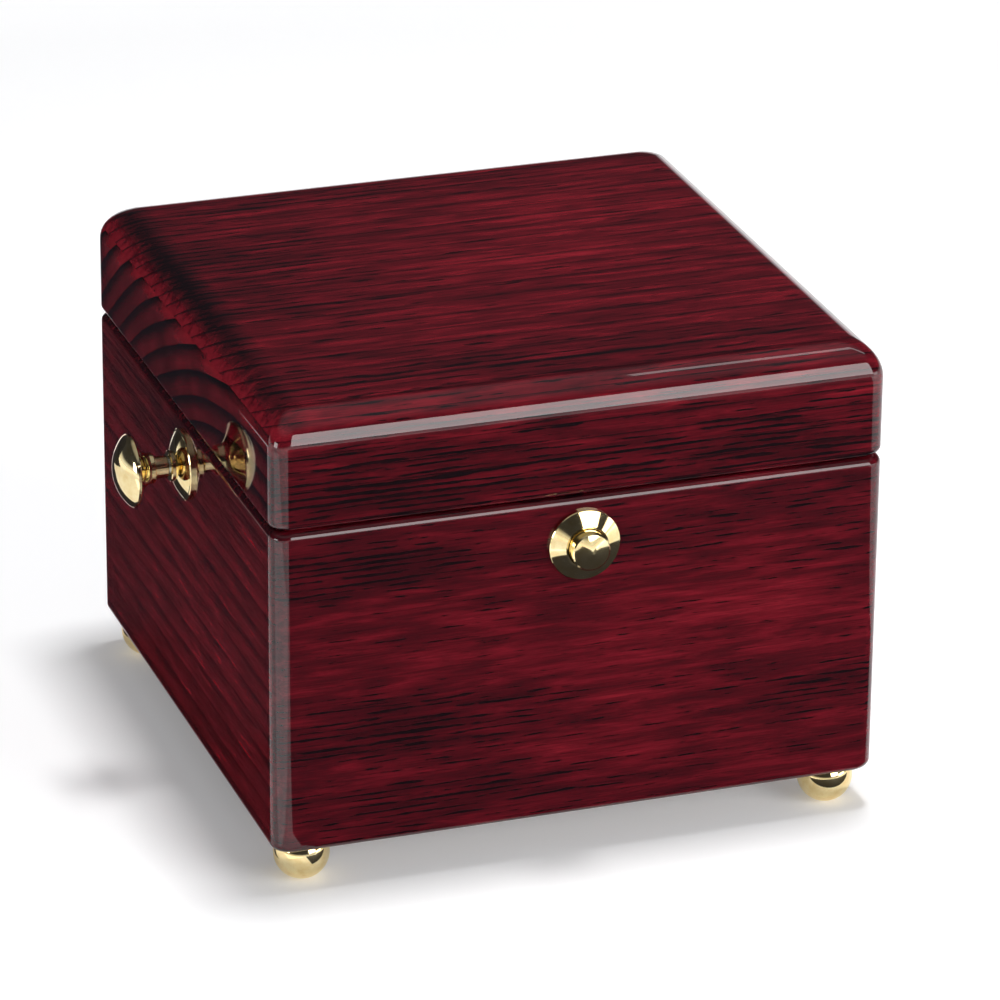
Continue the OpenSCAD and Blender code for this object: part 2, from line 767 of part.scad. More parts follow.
// a coil of round wire along Y
function coil_point(a, r, y0, rise) = [r * cos(a), y0 + rise * a / 360, r * sin(a)];

module catch_spring() {
  sides = 8;
  steps = 16;
  r = sleeve_bore / 2 - spring_wire / 2 - 0.3;
  y0 = button_back + spring_wire / 2 + 0.05;
  rise = (sleeve_end - sleeve_floor - button_back - spring_wire - 0.1) / spring_turns;
  rings = spring_turns * steps;
  points = [for (i = [0 : rings], k = [0 : sides - 1])
    let (a = 360 * i / steps, b = 360 * k / sides, c = coil_point(a, r, y0, rise), w = spring_wire / 2)
    c + w * [cos(b) * cos(a), sin(b), cos(b) * sin(a)]];
  walls = [for (i = [0 : rings - 1], k = [0 : sides - 1])
    [i * sides + k, (i + 1) * sides + k, (i + 1) * sides + (k + 1) % sides, i * sides + (k + 1) % sides]];
  ends = [[for (k = [0 : sides - 1]) k], [for (k = [sides - 1 : -1 : 0]) rings * sides + k]];
  color("#c0c4c8") translate([0, 0, button_z]) polyhedron(points, concat(walls, ends));
}

module catch_plate() {
  color("#c0c4c8") difference() {
    union() {
      translate([0, catch_y + catch_t, button_z]) rotate([90, 0, 0]) linear_extrude(catch_t) {
        circle(d = catch_w);
        translate([-catch_w / 2, 0]) square([catch_w, catch_top - button_z]);
      }
      along_x(-catch_w / 2, catch_w) polygon([
        [catch_y + eps, catch_top - nose_h],
        [catch_y + eps, catch_top],
        [catch_y - 0.4, catch_top],
        [inner_front + striker_t + nose_back, catch_top - nose_h * 0.55],
        [inner_front + striker_t + nose_back, catch_top - nose_h]]);
    }
    translate([0, catch_y + catch_t + 1, button_z]) rotate([90, 0, 0]) cylinder(h = catch_t + 2, d = stem_d);
  }
}

module striker() {
  color("#d9b25a") difference() {
    translate([-striker_w / 2, inner_front, lid_z + strike_gap])
      cube([striker_w, striker_t, striker_h - strike_gap]);
    translate([-catch_w / 2 - 0.5, inner_front - 1, catch_top - nose_h - 0.3])
      cube([catch_w + 1, striker_t + 2, nose_h + 1]);
    for (s = [-1, 1]) translate([s * striker_screw_x, inner_front + striker_t + 1, striker_screw_z])
      rotate([90, 0, 0]) cylinder(h = striker_t + 2, d = pan_screw_d);
  }
}

module striker_screws() {
  color("#d9b25a") for (s = [-1, 1])
    translate([s * striker_screw_x, inner_front + striker_t, striker_screw_z])
      rotate([-90, 0, 0]) cheese_screw(pan_screw_d, pan_screw_l, pan_head_d, pan_head_h);
}

// ---- winding ----

module winding_rosette() {
  dome_base = rosette_d / 2 - 0.6;
  dome_r = (pow(dome_base, 2) + pow(rosette_dome, 2)) / (2 * rosette_dome);
  color("#d9b25a") difference() {
    union() {
      turned_left(-half_w, arbor_y, axis_z) {
        square([rosette_d / 2, rosette_rim]);
        square([tube_r, rosette_top]);
        intersection() {
          translate([0, rosette_rim + rosette_dome - dome_r]) circle(r = dome_r);
          square([dome_base, rosette_top]);
        }
      }
      bar_x(-half_w - eps, wall_t + 1.5, arbor_y, axis_z, tube_r);
    }
    bar_x(-half_w - 2 * rosette_top, wall_t + 4 * rosette_top, arbor_y, axis_z, arbor_d / 2 + run);
  }
}

// a domed disc with a flared back on a slim neck, pinned to the end of the winding arbor
module winding_knob() {
  head_r = knob_d / 2;
  rim_back = arbor_out - knob_rim;
  collar_l = 1;
  steps = 8;
  flare = [for (k = [0 : steps])
    [collar_d / 2 + (head_r - collar_d / 2) * pow(k / steps, 2),
      rim_back - (knob_flare - collar_l) * (1 - k / steps)]];
  dome_r = (pow(head_r, 2) + pow(knob_dome, 2)) / (2 * knob_dome);
  color("#d9b25a") difference() {
    turned_left(-half_w, arbor_y, axis_z) {
      polygon(concat(
        [[0, neck_start], [neck_d / 2, neck_start], [neck_d / 2, rim_back - knob_flare],
          [collar_d / 2, rim_back - knob_flare]],
        flare, [[head_r, arbor_out], [0, arbor_out]]));
      intersection() {
        translate([0, knob_reach - dome_r]) circle(r = dome_r);
        translate([0, arbor_out - eps]) square([head_r, knob_dome + 1]);
      }
    }
    bar_x(-half_w - arbor_out, arbor_out, arbor_y, axis_z, arbor_d / 2);
  }
}

module winding_arbor() {
  core_x = barrel_x + barrel_wall + run;
  color("#a9adb2") {
    bar_x(-half_w - arbor_out, core_x + half_w + arbor_out, arbor_y, axis_z, arbor_d / 2);
    bar_x(core_x, great_x - run - core_x, arbor_y, axis_z, core_r);
    bar_x(great_x - 1, middle_bridge_x + bridge_t - great_x + 1.5, arbor_y, axis_z, pivot_r);
  }
}

module ratchet_wheel() {
  step = 360 / ratchet_teeth;
  inner = ratchet_r - ratchet_depth;
  teeth = [for (t = [0 : ratchet_teeth - 1]) each
    [inner * [cos(t * step), sin(t * step)], ratchet_r * [cos(t * step), sin(t * step)]]];
  color("#a9adb2") difference() {
    translate([ratchet_x, arbor_y, axis_z]) rotate([90, 0, 90]) linear_extrude(ratchet_t) polygon(teeth);
    bar_x(ratchet_x - 1, ratchet_t + 2, arbor_y, axis_z, arbor_d / 2);
  }
}

// the click's beak stands just off the tips of the ratchet teeth
module click() {
  color("#a9adb2") difference() {
    along_x(ratchet_x, ratchet_t) {
      translate(click_pivot) circle(r = click_r);
      polygon([
        click_pivot + [-click_r, 0], click_pivot + [click_r, 0], click_beak + click_back, click_beak]);
    }
    bar_x(ratchet_x - 1, ratchet_t + 2, click_pivot[0], click_pivot[1], click_stud_r + run);
  }
}

// a bent strip that leans on the back of the click, with its foot against the left bridge
module click_spring() {
  x0 = ratchet_x + 0.3;
  low = click_pivot + [click_r, 0];
  edge = click_beak + click_back - low;
  out = [edge[1], -edge[0]] / norm(edge);
  touch = low + 0.75 * edge + 0.03 * out;
  bend = click_pivot + [click_r + 0.9, 0.5];
  foot = click_pivot + [click_r + 0.9, -6];
  color("#c9a24e") along_x(x0, left_bridge_x - x0) {
    polygon([foot, foot + [click_spring_t, 0], bend + [click_spring_t, 0.2], touch + click_spring_t * out,
      touch, bend]);
    translate(foot - [1.5, 0]) square([1.9, 2.6]);
  }
}

// ---- movement ----

module bedplate() {
  color("#d2b060") difference() {
    translate([(bed_x0 + bed_x1) / 2, (bed_y0 + bed_y1) / 2, bed_z]) linear_extrude(bed_t)
      rounded_rect(bed_x1 - bed_x0, bed_y1 - bed_y0, 3);
    for (p = concat(bridge_feet, frame_screws, bar_screws))
      translate([p[0], p[1], bed_z - 1]) cylinder(h = bed_t + 2, d = screw_d);
    translate([lever_pivot[0], lever_pivot[1], bed_z - 1]) cylinder(h = bed_t + 2, d = screw_d);
  }
}

module bridge_foot_holes() {
  for (p = bridge_feet) translate([p[0], p[1], plate_top - 1]) cylinder(h = foot_t + 2, d = screw_d);
}

module left_bridge() {
  y0 = bridge_feet[0][1] - ear_w / 2;
  y1 = bridge_feet[1][1] + ear_w / 2;
  color("#d2b060") difference() {
    union() {
      along_x(left_bridge_x, bridge_t) {
        translate([arbor_y, axis_z]) circle(r = arbor_boss_r);
        translate([arbor_y - arbor_boss_r, plate_top]) square([2 * arbor_boss_r, shaft_h]);
        translate([y0, plate_top]) square([y1 - y0, click_pivot[1] + click_r - plate_top]);
      }
      for (p = [bridge_feet[0], bridge_feet[1]])
        translate([left_bridge_x, p[1] - ear_w / 2, plate_top]) cube([bridge_t + foot_w, ear_w, foot_t]);
      bar_x(ratchet_x - 0.3, ratchet_t + 1.4, click_pivot[0], click_pivot[1], click_stud_r);
    }
    bar_x(left_bridge_x - 1, bridge_t + 2, arbor_y, axis_z, arbor_d / 2 + run);
    bridge_foot_holes();
  }
}

module middle_bridge() {
  y0 = bridge_feet[2][1] - ear_w / 2;
  y1 = bridge_feet[3][1] + ear_w / 2;
  color("#d2b060") difference() {
    union() {
      along_x(middle_bridge_x, bridge_t) {
        translate([arbor_y, axis_z]) circle(r = boss_r);
        translate([cyl_y, axis_z]) circle(r = boss_r);
        translate([arbor_y - boss_r, plate_top]) square([cyl_y - arbor_y + 2 * boss_r, shaft_h]);
        translate([y0, plate_top]) square([y1 - y0, web_h]);
      }
      for (p = [bridge_feet[2], bridge_feet[3]])
        translate([middle_bridge_x - foot_w, p[1] - ear_w / 2, plate_top])
          cube([bridge_t + foot_w, ear_w, foot_t]);
    }
    bar_x(middle_bridge_x - 1, bridge_t + 2, arbor_y, axis_z, pivot_r + run);
    bar_x(middle_bridge_x - 1, bridge_t + 2, cyl_y, axis_z, shaft_r + run);
    along_x(middle_bridge_x - 1, bridge_t + 2)
      translate([(arbor_y + cyl_y) / 2, plate_top + 9]) circle(r = 3.4);
    bridge_foot_holes();
  }
}

module right_bridge() {
  y0 = bridge_feet[4][1] - ear_w / 2;
  y1 = bridge_feet[5][1] + ear_w / 2;
  color("#d2b060") difference() {
    union() {
      along_x(right_bridge_x, bridge_t) {
        translate([cyl_y, axis_z]) circle(r = boss_r);
        translate([cyl_y - boss_r, plate_top]) square([2 * boss_r, shaft_h]);
        translate([y0, plate_top]) square([y1 - y0, web_h]);
      }
      for (p = [bridge_feet[4], bridge_feet[5]])
        translate([right_bridge_x, p[1] - ear_w / 2, plate_top]) cube([bridge_t + foot_w, ear_w, foot_t]);
    }
    bar_x(right_bridge_x - 1, bridge_t + 2, cyl_y, axis_z, shaft_r + run);
    bridge_foot_holes();
  }
}

// the screws of the bridges run on into the deck; the shorter ones end in the bedplate
module movement_screws() {
  color("#4a5a8a") {
    for (p = bridge_feet) translate([p[0], p[1], plate_top + foot_t])
      cheese_screw(screw_d, foot_t + bed_t + deck_t - 1, 4, 1.4);
    for (p = frame_screws) translate([p[0], p[1], plate_top + frame_t])
      cheese_screw(screw_d, frame_t + bed_t - 0.3, 4, 1.4);
    for (p = bar_screws) translate([p[0], p[1], plate_top + bar_foot_t])
      cheese_screw(screw_d, bar_foot_t + bed_t - 0.3, 4, 1.4);
    translate([lever_pivot[0], lever_pivot[1], brake_z + brake_t + run])
      cheese_screw(screw_d, brake_z + brake_t + run - bed_z - 0.3, 4, 1.2);
  }
}

module spring_barrel() {
  color("#d8b45c") difference() {
    union() {
      bar_x(barrel_x, barrel_l + eps, arbor_y, axis_z, barrel_d / 2);
      gear_x(great_teeth, great_x, wheel_t, arbor_y, 0);
    }
    bar_x(barrel_x - 1, barrel_l + 1, arbor_y, axis_z, barrel_d / 2 - barrel_wall);
    bar_x(great_x - 1, wheel_t + 2, arbor_y, axis_z, pivot_r + run);
  }
}

module barrel_cap() {
  color("#d8b45c") difference() {
    bar_x(barrel_x, barrel_wall, arbor_y, axis_z, barrel_d / 2 - barrel_wall);
    bar_x(barrel_x - 1, barrel_wall + 2, arbor_y, axis_z, arbor_d / 2 + run);
  }
}

// a coiled strip that fills the barrel from just off the core to the wall
module mainspring() {
  r0 = core_r + 0.3;
  r1 = barrel_d / 2 - barrel_wall - 0.35;
  turns = 7;
  strip = 0.35;
  steps = turns * 18;
  function wind(i, off) = let (r = r0 + (r1 - r0) * i / steps + off, a = 20 * i) r * [cos(a), sin(a)];
  color("#5f6670") translate([0, arbor_y, axis_z]) rotate([90, 0, 90])
    translate([0, 0, barrel_x + barrel_wall + 0.5]) linear_extrude(barrel_l - barrel_wall - 1)
      polygon(concat([for (i = [0 : steps]) wind(i, strip)], [for (i = [steps : -1 : 0]) wind(i, 0)]));
}

module cylinder_drum() {
  color("#dcb85f") difference() {
    bar_x(drum_x, drum_l, cyl_y, axis_z, drum_d / 2);
    for (x = [drum_x - eps, drum_x + drum_l - drum_wall]) difference() {
      bar_x(x, drum_wall + eps, cyl_y, axis_z, drum_d / 2 - drum_wall);
      bar_x(x - 1, drum_wall + 3, cyl_y, axis_z, shaft_r + 1.5);
    }
    bar_x(drum_x - 1, drum_l + 2, cyl_y, axis_z, shaft_r);
  }
}

function melody(s) = 17 + round(4.5 + 4 * sin(360 * s / 24) + 1.4 * sin(360 * 5 * s / beats));
function chord(s) = 6 + (s % 4) * 2 + (floor(s / 8) % 2);
function bass(s) = (floor(s / 4) * 3) % 6;
function treble(s) = 28 + (s * 5 + floor(s / 6)) % 8;

module cylinder_pins() {
  color("#c8cbd0") for (p = pin_places)
    translate([comb_x0 + (p[0] + 0.5) * tooth_pitch, cyl_y, axis_z])
      rotate([pin_start + 360 * p[1] / beats, 0, 0])
        translate([0, 0, drum_d / 2]) cylinder(h = pin_h, d = pin_d, $fn = 16);
}

module cylinder_arbor() {
  left = great_x + 0.2;
  color("#a9adb2") union() {
    gear_x(drum_pinion_teeth, left, wheel_t - 0.4, cyl_y, 180 / drum_pinion_teeth);
    bar_x(left, right_bridge_x + bridge_t + 0.8 - left, cyl_y, axis_z, shaft_r);
  }
}

module drum_wheel() {
  color("#d8b45c") difference() {
    union() {
      gear_x(drum_wheel_teeth, drum_wheel_x, wheel_t - 1, cyl_y, 0);
      bar_x(drum_wheel_x, wheel_t, cyl_y, axis_z, shaft_r + 2);
    }
    bar_x(drum_wheel_x - 1, wheel_t + 2, cyl_y, axis_z, shaft_r);
    for (k = [0 : 4]) translate([drum_wheel_x - 1, cyl_y, axis_z]) rotate([72 * k + 36, 0, 0])
      translate([0, 0, gear_m * drum_wheel_teeth * 0.29])
        rotate([0, 90, 0]) cylinder(h = wheel_t + 2, r = 2.6);
  }
}

// ---- comb ----

function tooth_len(k) = tooth_long + (tooth_short - tooth_long) * k / (comb_teeth - 1);
function tooth_x(k) = comb_x0 + k * tooth_pitch + tooth_slot / 2;

module comb() {
  color("#9aa0a6") difference() {
    union() {
      translate([comb_x0, comb_back_y, comb_low]) linear_extrude(root_t)
        polygon([[0, 0], [comb_w, 0], [comb_w, comb_tip_y - tooth_short - comb_back_y],
          [0, comb_tip_y - tooth_long - comb_back_y]]);
      for (k = [0 : comb_teeth - 1])
        translate([tooth_x(k), comb_tip_y - tooth_len(k) - 0.6, axis_z - tooth_t / 2])
          cube([tooth_pitch - tooth_slot, tooth_len(k) + 0.6, tooth_t]);
    }
    for (x = comb_screw_x)
      translate([x, comb_hole_y, comb_low - 1]) cylinder(h = root_t + 2, d = comb_screw_d);
  }
}

module tuning_leads() {
  color("#6d7076") for (k = [0 : lead_teeth - 1]) {
    h = lead_h - 1.2 * k / lead_teeth;
    translate([tooth_x(k), comb_tip_y - lead_back - lead_l, axis_z - tooth_t / 2 - h])
      cube([tooth_pitch - tooth_slot, lead_l, h]);
  }
}

// the cast bar that the comb is screwed down on
module comb_bar() {
  h = comb_low - plate_top;
  color("#8a8f94") difference() {
    along_x(comb_x0, comb_w) polygon([
      [comb_back_y, plate_top], [comb_back_y + bar_foot, plate_top],
      [comb_back_y + bar_foot, plate_top + bar_foot_t],
      [comb_back_y + bar_web, plate_top + bar_foot_t + 1.5], [comb_back_y + bar_web, plate_top + h],
      [comb_back_y, plate_top + h]]);
    for (x = comb_screw_x) translate([x, comb_hole_y, comb_low - 7]) cylinder(h = 8, d = comb_screw_d);
    for (p = bar_screws) translate([p[0], p[1], plate_top - 1]) {
      cylinder(h = bar_foot_t + 4, d = screw_d);
      translate([0, 0, 1 + bar_foot_t]) cylinder(h = 4, d = 4.4);
    }
  }
}

module comb_screws() {
  color("#4a5a8a") for (x = comb_screw_x) translate([x, comb_hole_y, comb_low + root_t])
    cheese_screw(comb_screw_d, root_t + comb_bite, comb_head_d, comb_head_h);
}

// ---- governor ----

module governor_frame() {
  color("#d2b060") difference() {
    union() {
      translate([frame_x0, post_y, plate_top]) cube([frame_x1 - frame_x0, gov_y + boss_r - post_y, frame_t]);
      for (p = frame_screws) {
        translate([p[0], p[1], plate_top]) cylinder(h = frame_t, r = ear_w / 2);
        translate([frame_x1 - eps, p[1] - ear_w / 2, plate_top]) cube([p[0] - frame_x1, ear_w, frame_t]);
      }
      for (x = [left_cheek_x, right_cheek_x]) along_x(x, cheek_t) {
        translate([gov_y, axis_z]) circle(r = cheek_w / 2);
        translate([gov_y - cheek_w / 2, plate_top]) square([cheek_w, shaft_h]);
      }
      translate([worm_x - post_w / 2, post_y, plate_top])
        cube([post_w, post_t, top_arm_z + top_arm_t - plate_top]);
      translate([worm_x - arm_w / 2, post_y, top_arm_z]) cube([arm_w, worm_y - post_y, top_arm_t]);
      translate([worm_x, worm_y, top_arm_z]) cylinder(h = top_arm_t, r = arm_w / 2);
    }
    bar_x(left_cheek_x - 1, cheek_t + 2, gov_y, axis_z, gov_shaft_r + run);
    bar_x(right_cheek_x - 1, cheek_t + 2, gov_y, axis_z, gov_pivot_r + run);
    translate([worm_x, worm_y, plate_top + frame_t - 1.4]) cylinder(h = 2, r = fly_pivot_r + run);
    translate([worm_x, worm_y, top_arm_z - 1]) cylinder(h = top_arm_t + 2, r = fly_pivot_r + run);
    for (p = frame_screws) translate([p[0], p[1], plate_top - 1]) cylinder(h = frame_t + 2, d = screw_d);
  }
}

module governor_arbor() {
  left = drum_wheel_x + 0.1;
  color("#a9adb2") union() {
    gear_x(fly_pinion_teeth, left, wheel_t - 1.2, gov_y, 180 / fly_pinion_teeth);
    bar_x(left, right_cheek_x - 0.2 - left, gov_y, axis_z, gov_shaft_r);
    bar_x(right_cheek_x - 0.3, cheek_t + 0.8, gov_y, axis_z, gov_pivot_r);
  }
}

module worm_wheel() {
  color("#d8b45c") difference() {
    union() {
      gear_x(worm_wheel_teeth, worm_wheel_x, worm_wheel_t, gov_y, 0);
      bar_x(worm_wheel_x - 0.8, worm_wheel_t + 1.6, gov_y, axis_z, gov_shaft_r + 1);
    }
    bar_x(worm_wheel_x - 2, worm_wheel_t + 4, gov_y, axis_z, gov_shaft_r);
  }
}

// radius of the worm's thread, a share of one turn away from its middle
function worm_r(share) =
  let (half_t = worm_pitch / 4 - backlash / 2, axial = abs(share) * worm_pitch)
  min(worm_tip_r, max(worm_root_r, worm_d / 2 + (half_t - axial) / tan(pressure)));

module endless_screw() {
  sides = 20;
  outline = [for (k = [0 : sides - 1])
    let (a = 360 * k / sides, share = (a > 180 ? a - 360 : a) / 360) worm_r(share) * [cos(a), sin(a)]];
  color("#a9adb2") union() {
    translate([worm_x, worm_y, worm_z]) rotate([0, 0, 90])
      linear_extrude(worm_turns * worm_pitch, twist = -360 * worm_turns, slices = 12 * worm_turns,
        segments = sides) polygon(outline);
    translate([worm_x, worm_y, plate_top + frame_t + 0.2])
      cylinder(h = top_arm_z - plate_top - frame_t - 0.4, r = fly_shaft_r);
    translate([worm_x, worm_y, plate_top + frame_t - 1.2])
      cylinder(h = top_arm_z + top_arm_t - plate_top - frame_t + 1.4, r = fly_pivot_r);
    translate([worm_x, worm_y, brake_z]) cylinder(h = brake_t, r = brake_r);
  }
}

module fly() {
  color("#e0bd66") difference() {
    union() {
      translate([worm_x, worm_y, fly_z]) cylinder(h = fly_h, r = fly_shaft_r + 0.6);
      translate([worm_x - fly_r, worm_y - 0.25, fly_z]) cube([2 * fly_r, 0.5, fly_h]);
    }
    translate([worm_x, worm_y, fly_z - 1]) cylinder(h = fly_h + 2, r = fly_shaft_r);
  }
}

// the lever's shoe stands just off the brake disc, and its tail is the finger piece
module stop_lever() {
  color("#d8b45c") difference() {
    union() {
      translate([lever_pivot[0], lever_pivot[1], plate_top])
        cylinder(h = brake_z - plate_top + brake_t, r = lever_boss_r);
      translate([lever_end, lever_pivot[1] - lever_w / 2, brake_z])
        cube([lever_pivot[0] - lever_end, lever_w, brake_t]);
      translate([lever_pivot[0] - lever_w / 2, lever_pivot[1] - lever_tail, brake_z])
        cube([lever_w, lever_tail, brake_t]);
      translate([lever_pivot[0], lever_pivot[1] - lever_tail, brake_z]) cylinder(h = pad_h, r = pad_r);
    }
    translate([lever_pivot[0], lever_pivot[1], plate_top - 1])
      cylinder(h = brake_z - plate_top + brake_t + 2, r = screw_d / 2 + run);
  }
}

// stands the box on the table with the middle of its outline at the origin
module placed() {
  translate([stand_x, stand_y, foot_h]) children();
}

placed() front_wall();
placed() right_wall();
placed() back_wall();
placed() left_wall();
placed() bottom_board();
placed() movement_deck();
placed() deck_cleats();
placed() ball_foot(-1, -1);  // foot_front_left
placed() ball_foot(1, -1);  // foot_front_right
placed() ball_foot(1, 1);  // foot_back_right
placed() ball_foot(-1, 1);  // foot_back_left
placed() foot_screws();
placed() lid_top_board();
placed() lid_front_rim();
placed() lid_right_rim();
placed() lid_back_rim();
placed() lid_left_rim();
placed() lid_lining();
placed() base_leaf(-1);  // left_hinge_base_leaf
placed() base_leaf(1);  // right_hinge_base_leaf
placed() lid_leaf(-1);  // left_hinge_lid_leaf
placed() lid_leaf(1);  // right_hinge_lid_leaf
placed() hinge_pins();
placed() base_hinge_screws();
placed() lid_hinge_screws();
placed() catch_ring();
placed() catch_nut();
placed() catch_button();
placed() catch_spring();
placed() catch_plate();
placed() striker();
placed() striker_screws();
placed() winding_rosette();
placed() winding_knob();
placed() winding_arbor();
placed() ratchet_wheel();
placed() click();
placed() click_spring();
placed() bedplate();
placed() left_bridge();
placed() middle_bridge();
placed() right_bridge();
placed() movement_screws();
placed() spring_barrel();
placed() barrel_cap();
placed() mainspring();
placed() cylinder_drum();
placed() cylinder_pins();
placed() cylinder_arbor();
placed() drum_wheel();
placed() comb();
placed() tuning_leads();
placed() comb_bar();
placed() comb_screws();
placed() governor_frame();
placed() governor_arbor();
placed() worm_wheel();
placed() endless_screw();
placed() fly();
placed() stop_lever();
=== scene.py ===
import json, math
import bpy
from mathutils import Matrix, Vector


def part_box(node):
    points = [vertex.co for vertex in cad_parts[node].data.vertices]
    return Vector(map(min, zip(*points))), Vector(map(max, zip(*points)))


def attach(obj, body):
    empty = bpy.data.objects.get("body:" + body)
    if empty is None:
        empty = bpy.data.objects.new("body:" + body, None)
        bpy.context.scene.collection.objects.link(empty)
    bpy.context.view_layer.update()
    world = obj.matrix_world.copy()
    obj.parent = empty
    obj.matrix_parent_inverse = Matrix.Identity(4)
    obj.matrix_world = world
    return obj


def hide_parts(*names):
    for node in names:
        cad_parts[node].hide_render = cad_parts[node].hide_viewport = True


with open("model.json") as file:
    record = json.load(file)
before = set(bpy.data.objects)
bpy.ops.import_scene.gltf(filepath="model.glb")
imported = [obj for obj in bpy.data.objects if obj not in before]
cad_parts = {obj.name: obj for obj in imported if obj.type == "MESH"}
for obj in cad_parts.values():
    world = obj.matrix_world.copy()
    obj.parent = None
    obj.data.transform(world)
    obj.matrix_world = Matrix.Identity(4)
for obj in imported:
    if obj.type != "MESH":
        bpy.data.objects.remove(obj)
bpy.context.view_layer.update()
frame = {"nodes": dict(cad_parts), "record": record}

mm = 0.001
print("frame loaded:", len(frame["nodes"]), "nodes")


def only(obj):  # deselects everything, then makes this piece the one being worked on
    bpy.ops.object.select_all(action="DESELECT")
    obj.select_set(True)
    bpy.context.view_layer.objects.active = obj


def boxOf(*nodes):
    boxes = [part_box(n) for n in nodes]
    low = Vector([min(b[0][k] for b in boxes) for k in range(3)])
    high = Vector([max(b[1][k] for b in boxes) for k in range(3)])
    return low, high


def toLinear(hexColour):
    parts = [int(hexColour[k:k + 2], 16) / 255 for k in (1, 3, 5)]
    return [c / 12.92 if c <= 0.04045 else ((c + 0.055) / 1.055) ** 2.4 for c in parts] + [1]


def addNode(tree, kind, settings=None, links=None):
    node = tree.nodes.new(kind)
    for key, value in (settings or {}).items():
        if key == "ramp":  # list of (place, colour) stops
            stops = node.color_ramp.elements
            while len(stops) < len(value):
                stops.new(1)
            for stop, (place, colour) in zip(stops, value):
                stop.position, stop.color = place, toLinear(colour)
        elif isinstance(key, str) and key not in node.inputs:
            setattr(node, key, value)
        else:
            node.inputs[key].default_value = value
    for key, source in (links or {}).items():
        tree.links.new(source, node.inputs[key])
    return node


def newFinish(name):
    finish = bpy.data.materials.new(name)
    finish.use_nodes = True
    return finish, finish.node_tree, finish.node_tree.nodes["Principled BSDF"]


def smooth(obj, angle=28):
    only(obj)
    bpy.ops.object.shade_smooth_by_angle(angle=math.radians(angle))
    # keeps the wide flats flat beside the roundings
    weigh = obj.modifiers.new("evenNormals", "WEIGHTED_NORMAL")
    weigh.mode, weigh.keep_sharp = "FACE_AREA", True
    bpy.ops.object.modifier_apply(modifier=weigh.name)


def cut(obj, cutters):
    for cutter in cutters:
        only(obj)
        taken = obj.modifiers.new("cut", "BOOLEAN")
        taken.operation, taken.solver, taken.object = "DIFFERENCE", "EXACT", cutter
        bpy.ops.object.modifier_apply(modifier=taken.name)
        bpy.data.objects.remove(cutter)


def blockCutter(low, high):
    low, high = Vector(low), Vector(high)
    bpy.ops.mesh.primitive_cube_add(size=1, location=(low + high) / 2)
    bpy.context.object.scale = high - low
    bpy.ops.object.transform_apply(location=True, rotation=True, scale=True)
    return bpy.context.object


def rodCutter(start, end, radius):
    start, end = Vector(start), Vector(end)
    turn = (end - start).to_track_quat("Z", "Y").to_euler()
    bpy.ops.mesh.primitive_cylinder_add(vertices=48, radius=radius, depth=(end - start).length,
                                        location=(start + end) / 2, rotation=turn)
    bpy.ops.object.transform_apply(location=True, rotation=True, scale=True)
    return bpy.context.object


# camera: angles in degrees, distances in metres, lens and sensor in mm
view = dict(azimuth=-19.07, elevation=23.17, roll=0.432, distance=1.314, aboveUnderside=0.05133,
            lens=208.46, sensor=36, shiftX=0.021, shiftY=-0.019, nearest=0.1, farthest=30)
caseLow, caseHigh = boxOf("front_wall", "right_wall", "back_wall", "left_wall")
lidLow, lidHigh = boxOf("lid_top_board", "lid_front_rim", "lid_right_rim", "lid_back_rim", "lid_left_rim")
middle = (caseLow + caseHigh) / 2

azimuth, elevation, roll = [math.radians(view[k]) for k in ("azimuth", "elevation", "roll")]
back = Vector((math.sin(azimuth) * math.cos(elevation), -math.cos(azimuth) * math.cos(elevation),
               math.sin(elevation)))
right = (-back).cross(Vector((0, 0, 1))).normalized()
up = right.cross(-back)
right, up = math.cos(roll) * right + math.sin(roll) * up, math.cos(roll) * up - math.sin(roll) * right
target = Vector((middle.x, middle.y, caseLow.z + view["aboveUnderside"]))
eye = target + back * view["distance"]
bpy.ops.object.camera_add()
camera = bpy.context.object
camera.matrix_world = Matrix(((right.x, up.x, back.x, eye.x), (right.y, up.y, back.y, eye.y),
                              (right.z, up.z, back.z, eye.z), (0, 0, 0, 1)))
camera.data.lens, camera.data.sensor_width = view["lens"], view["sensor"]
camera.data.shift_x, camera.data.shift_y = view["shiftX"], view["shiftY"]
camera.data.clip_start, camera.data.clip_end = view["nearest"], view["farthest"]
bpy.context.scene.camera = camera
bpy.context.scene.view_settings.view_transform = "Standard"
print("camera set")

# floor: lengths in metres; lift is the light it gives off near the box, and past whiteFrom it is full white
floorLook = dict(side=12, cloudSize=0.4, dark="#f3f3f4", pale="#f5f5f5", rough=0.9, lift=0.24,
                 liftedFrom=0.5, whiteFrom=1.2)


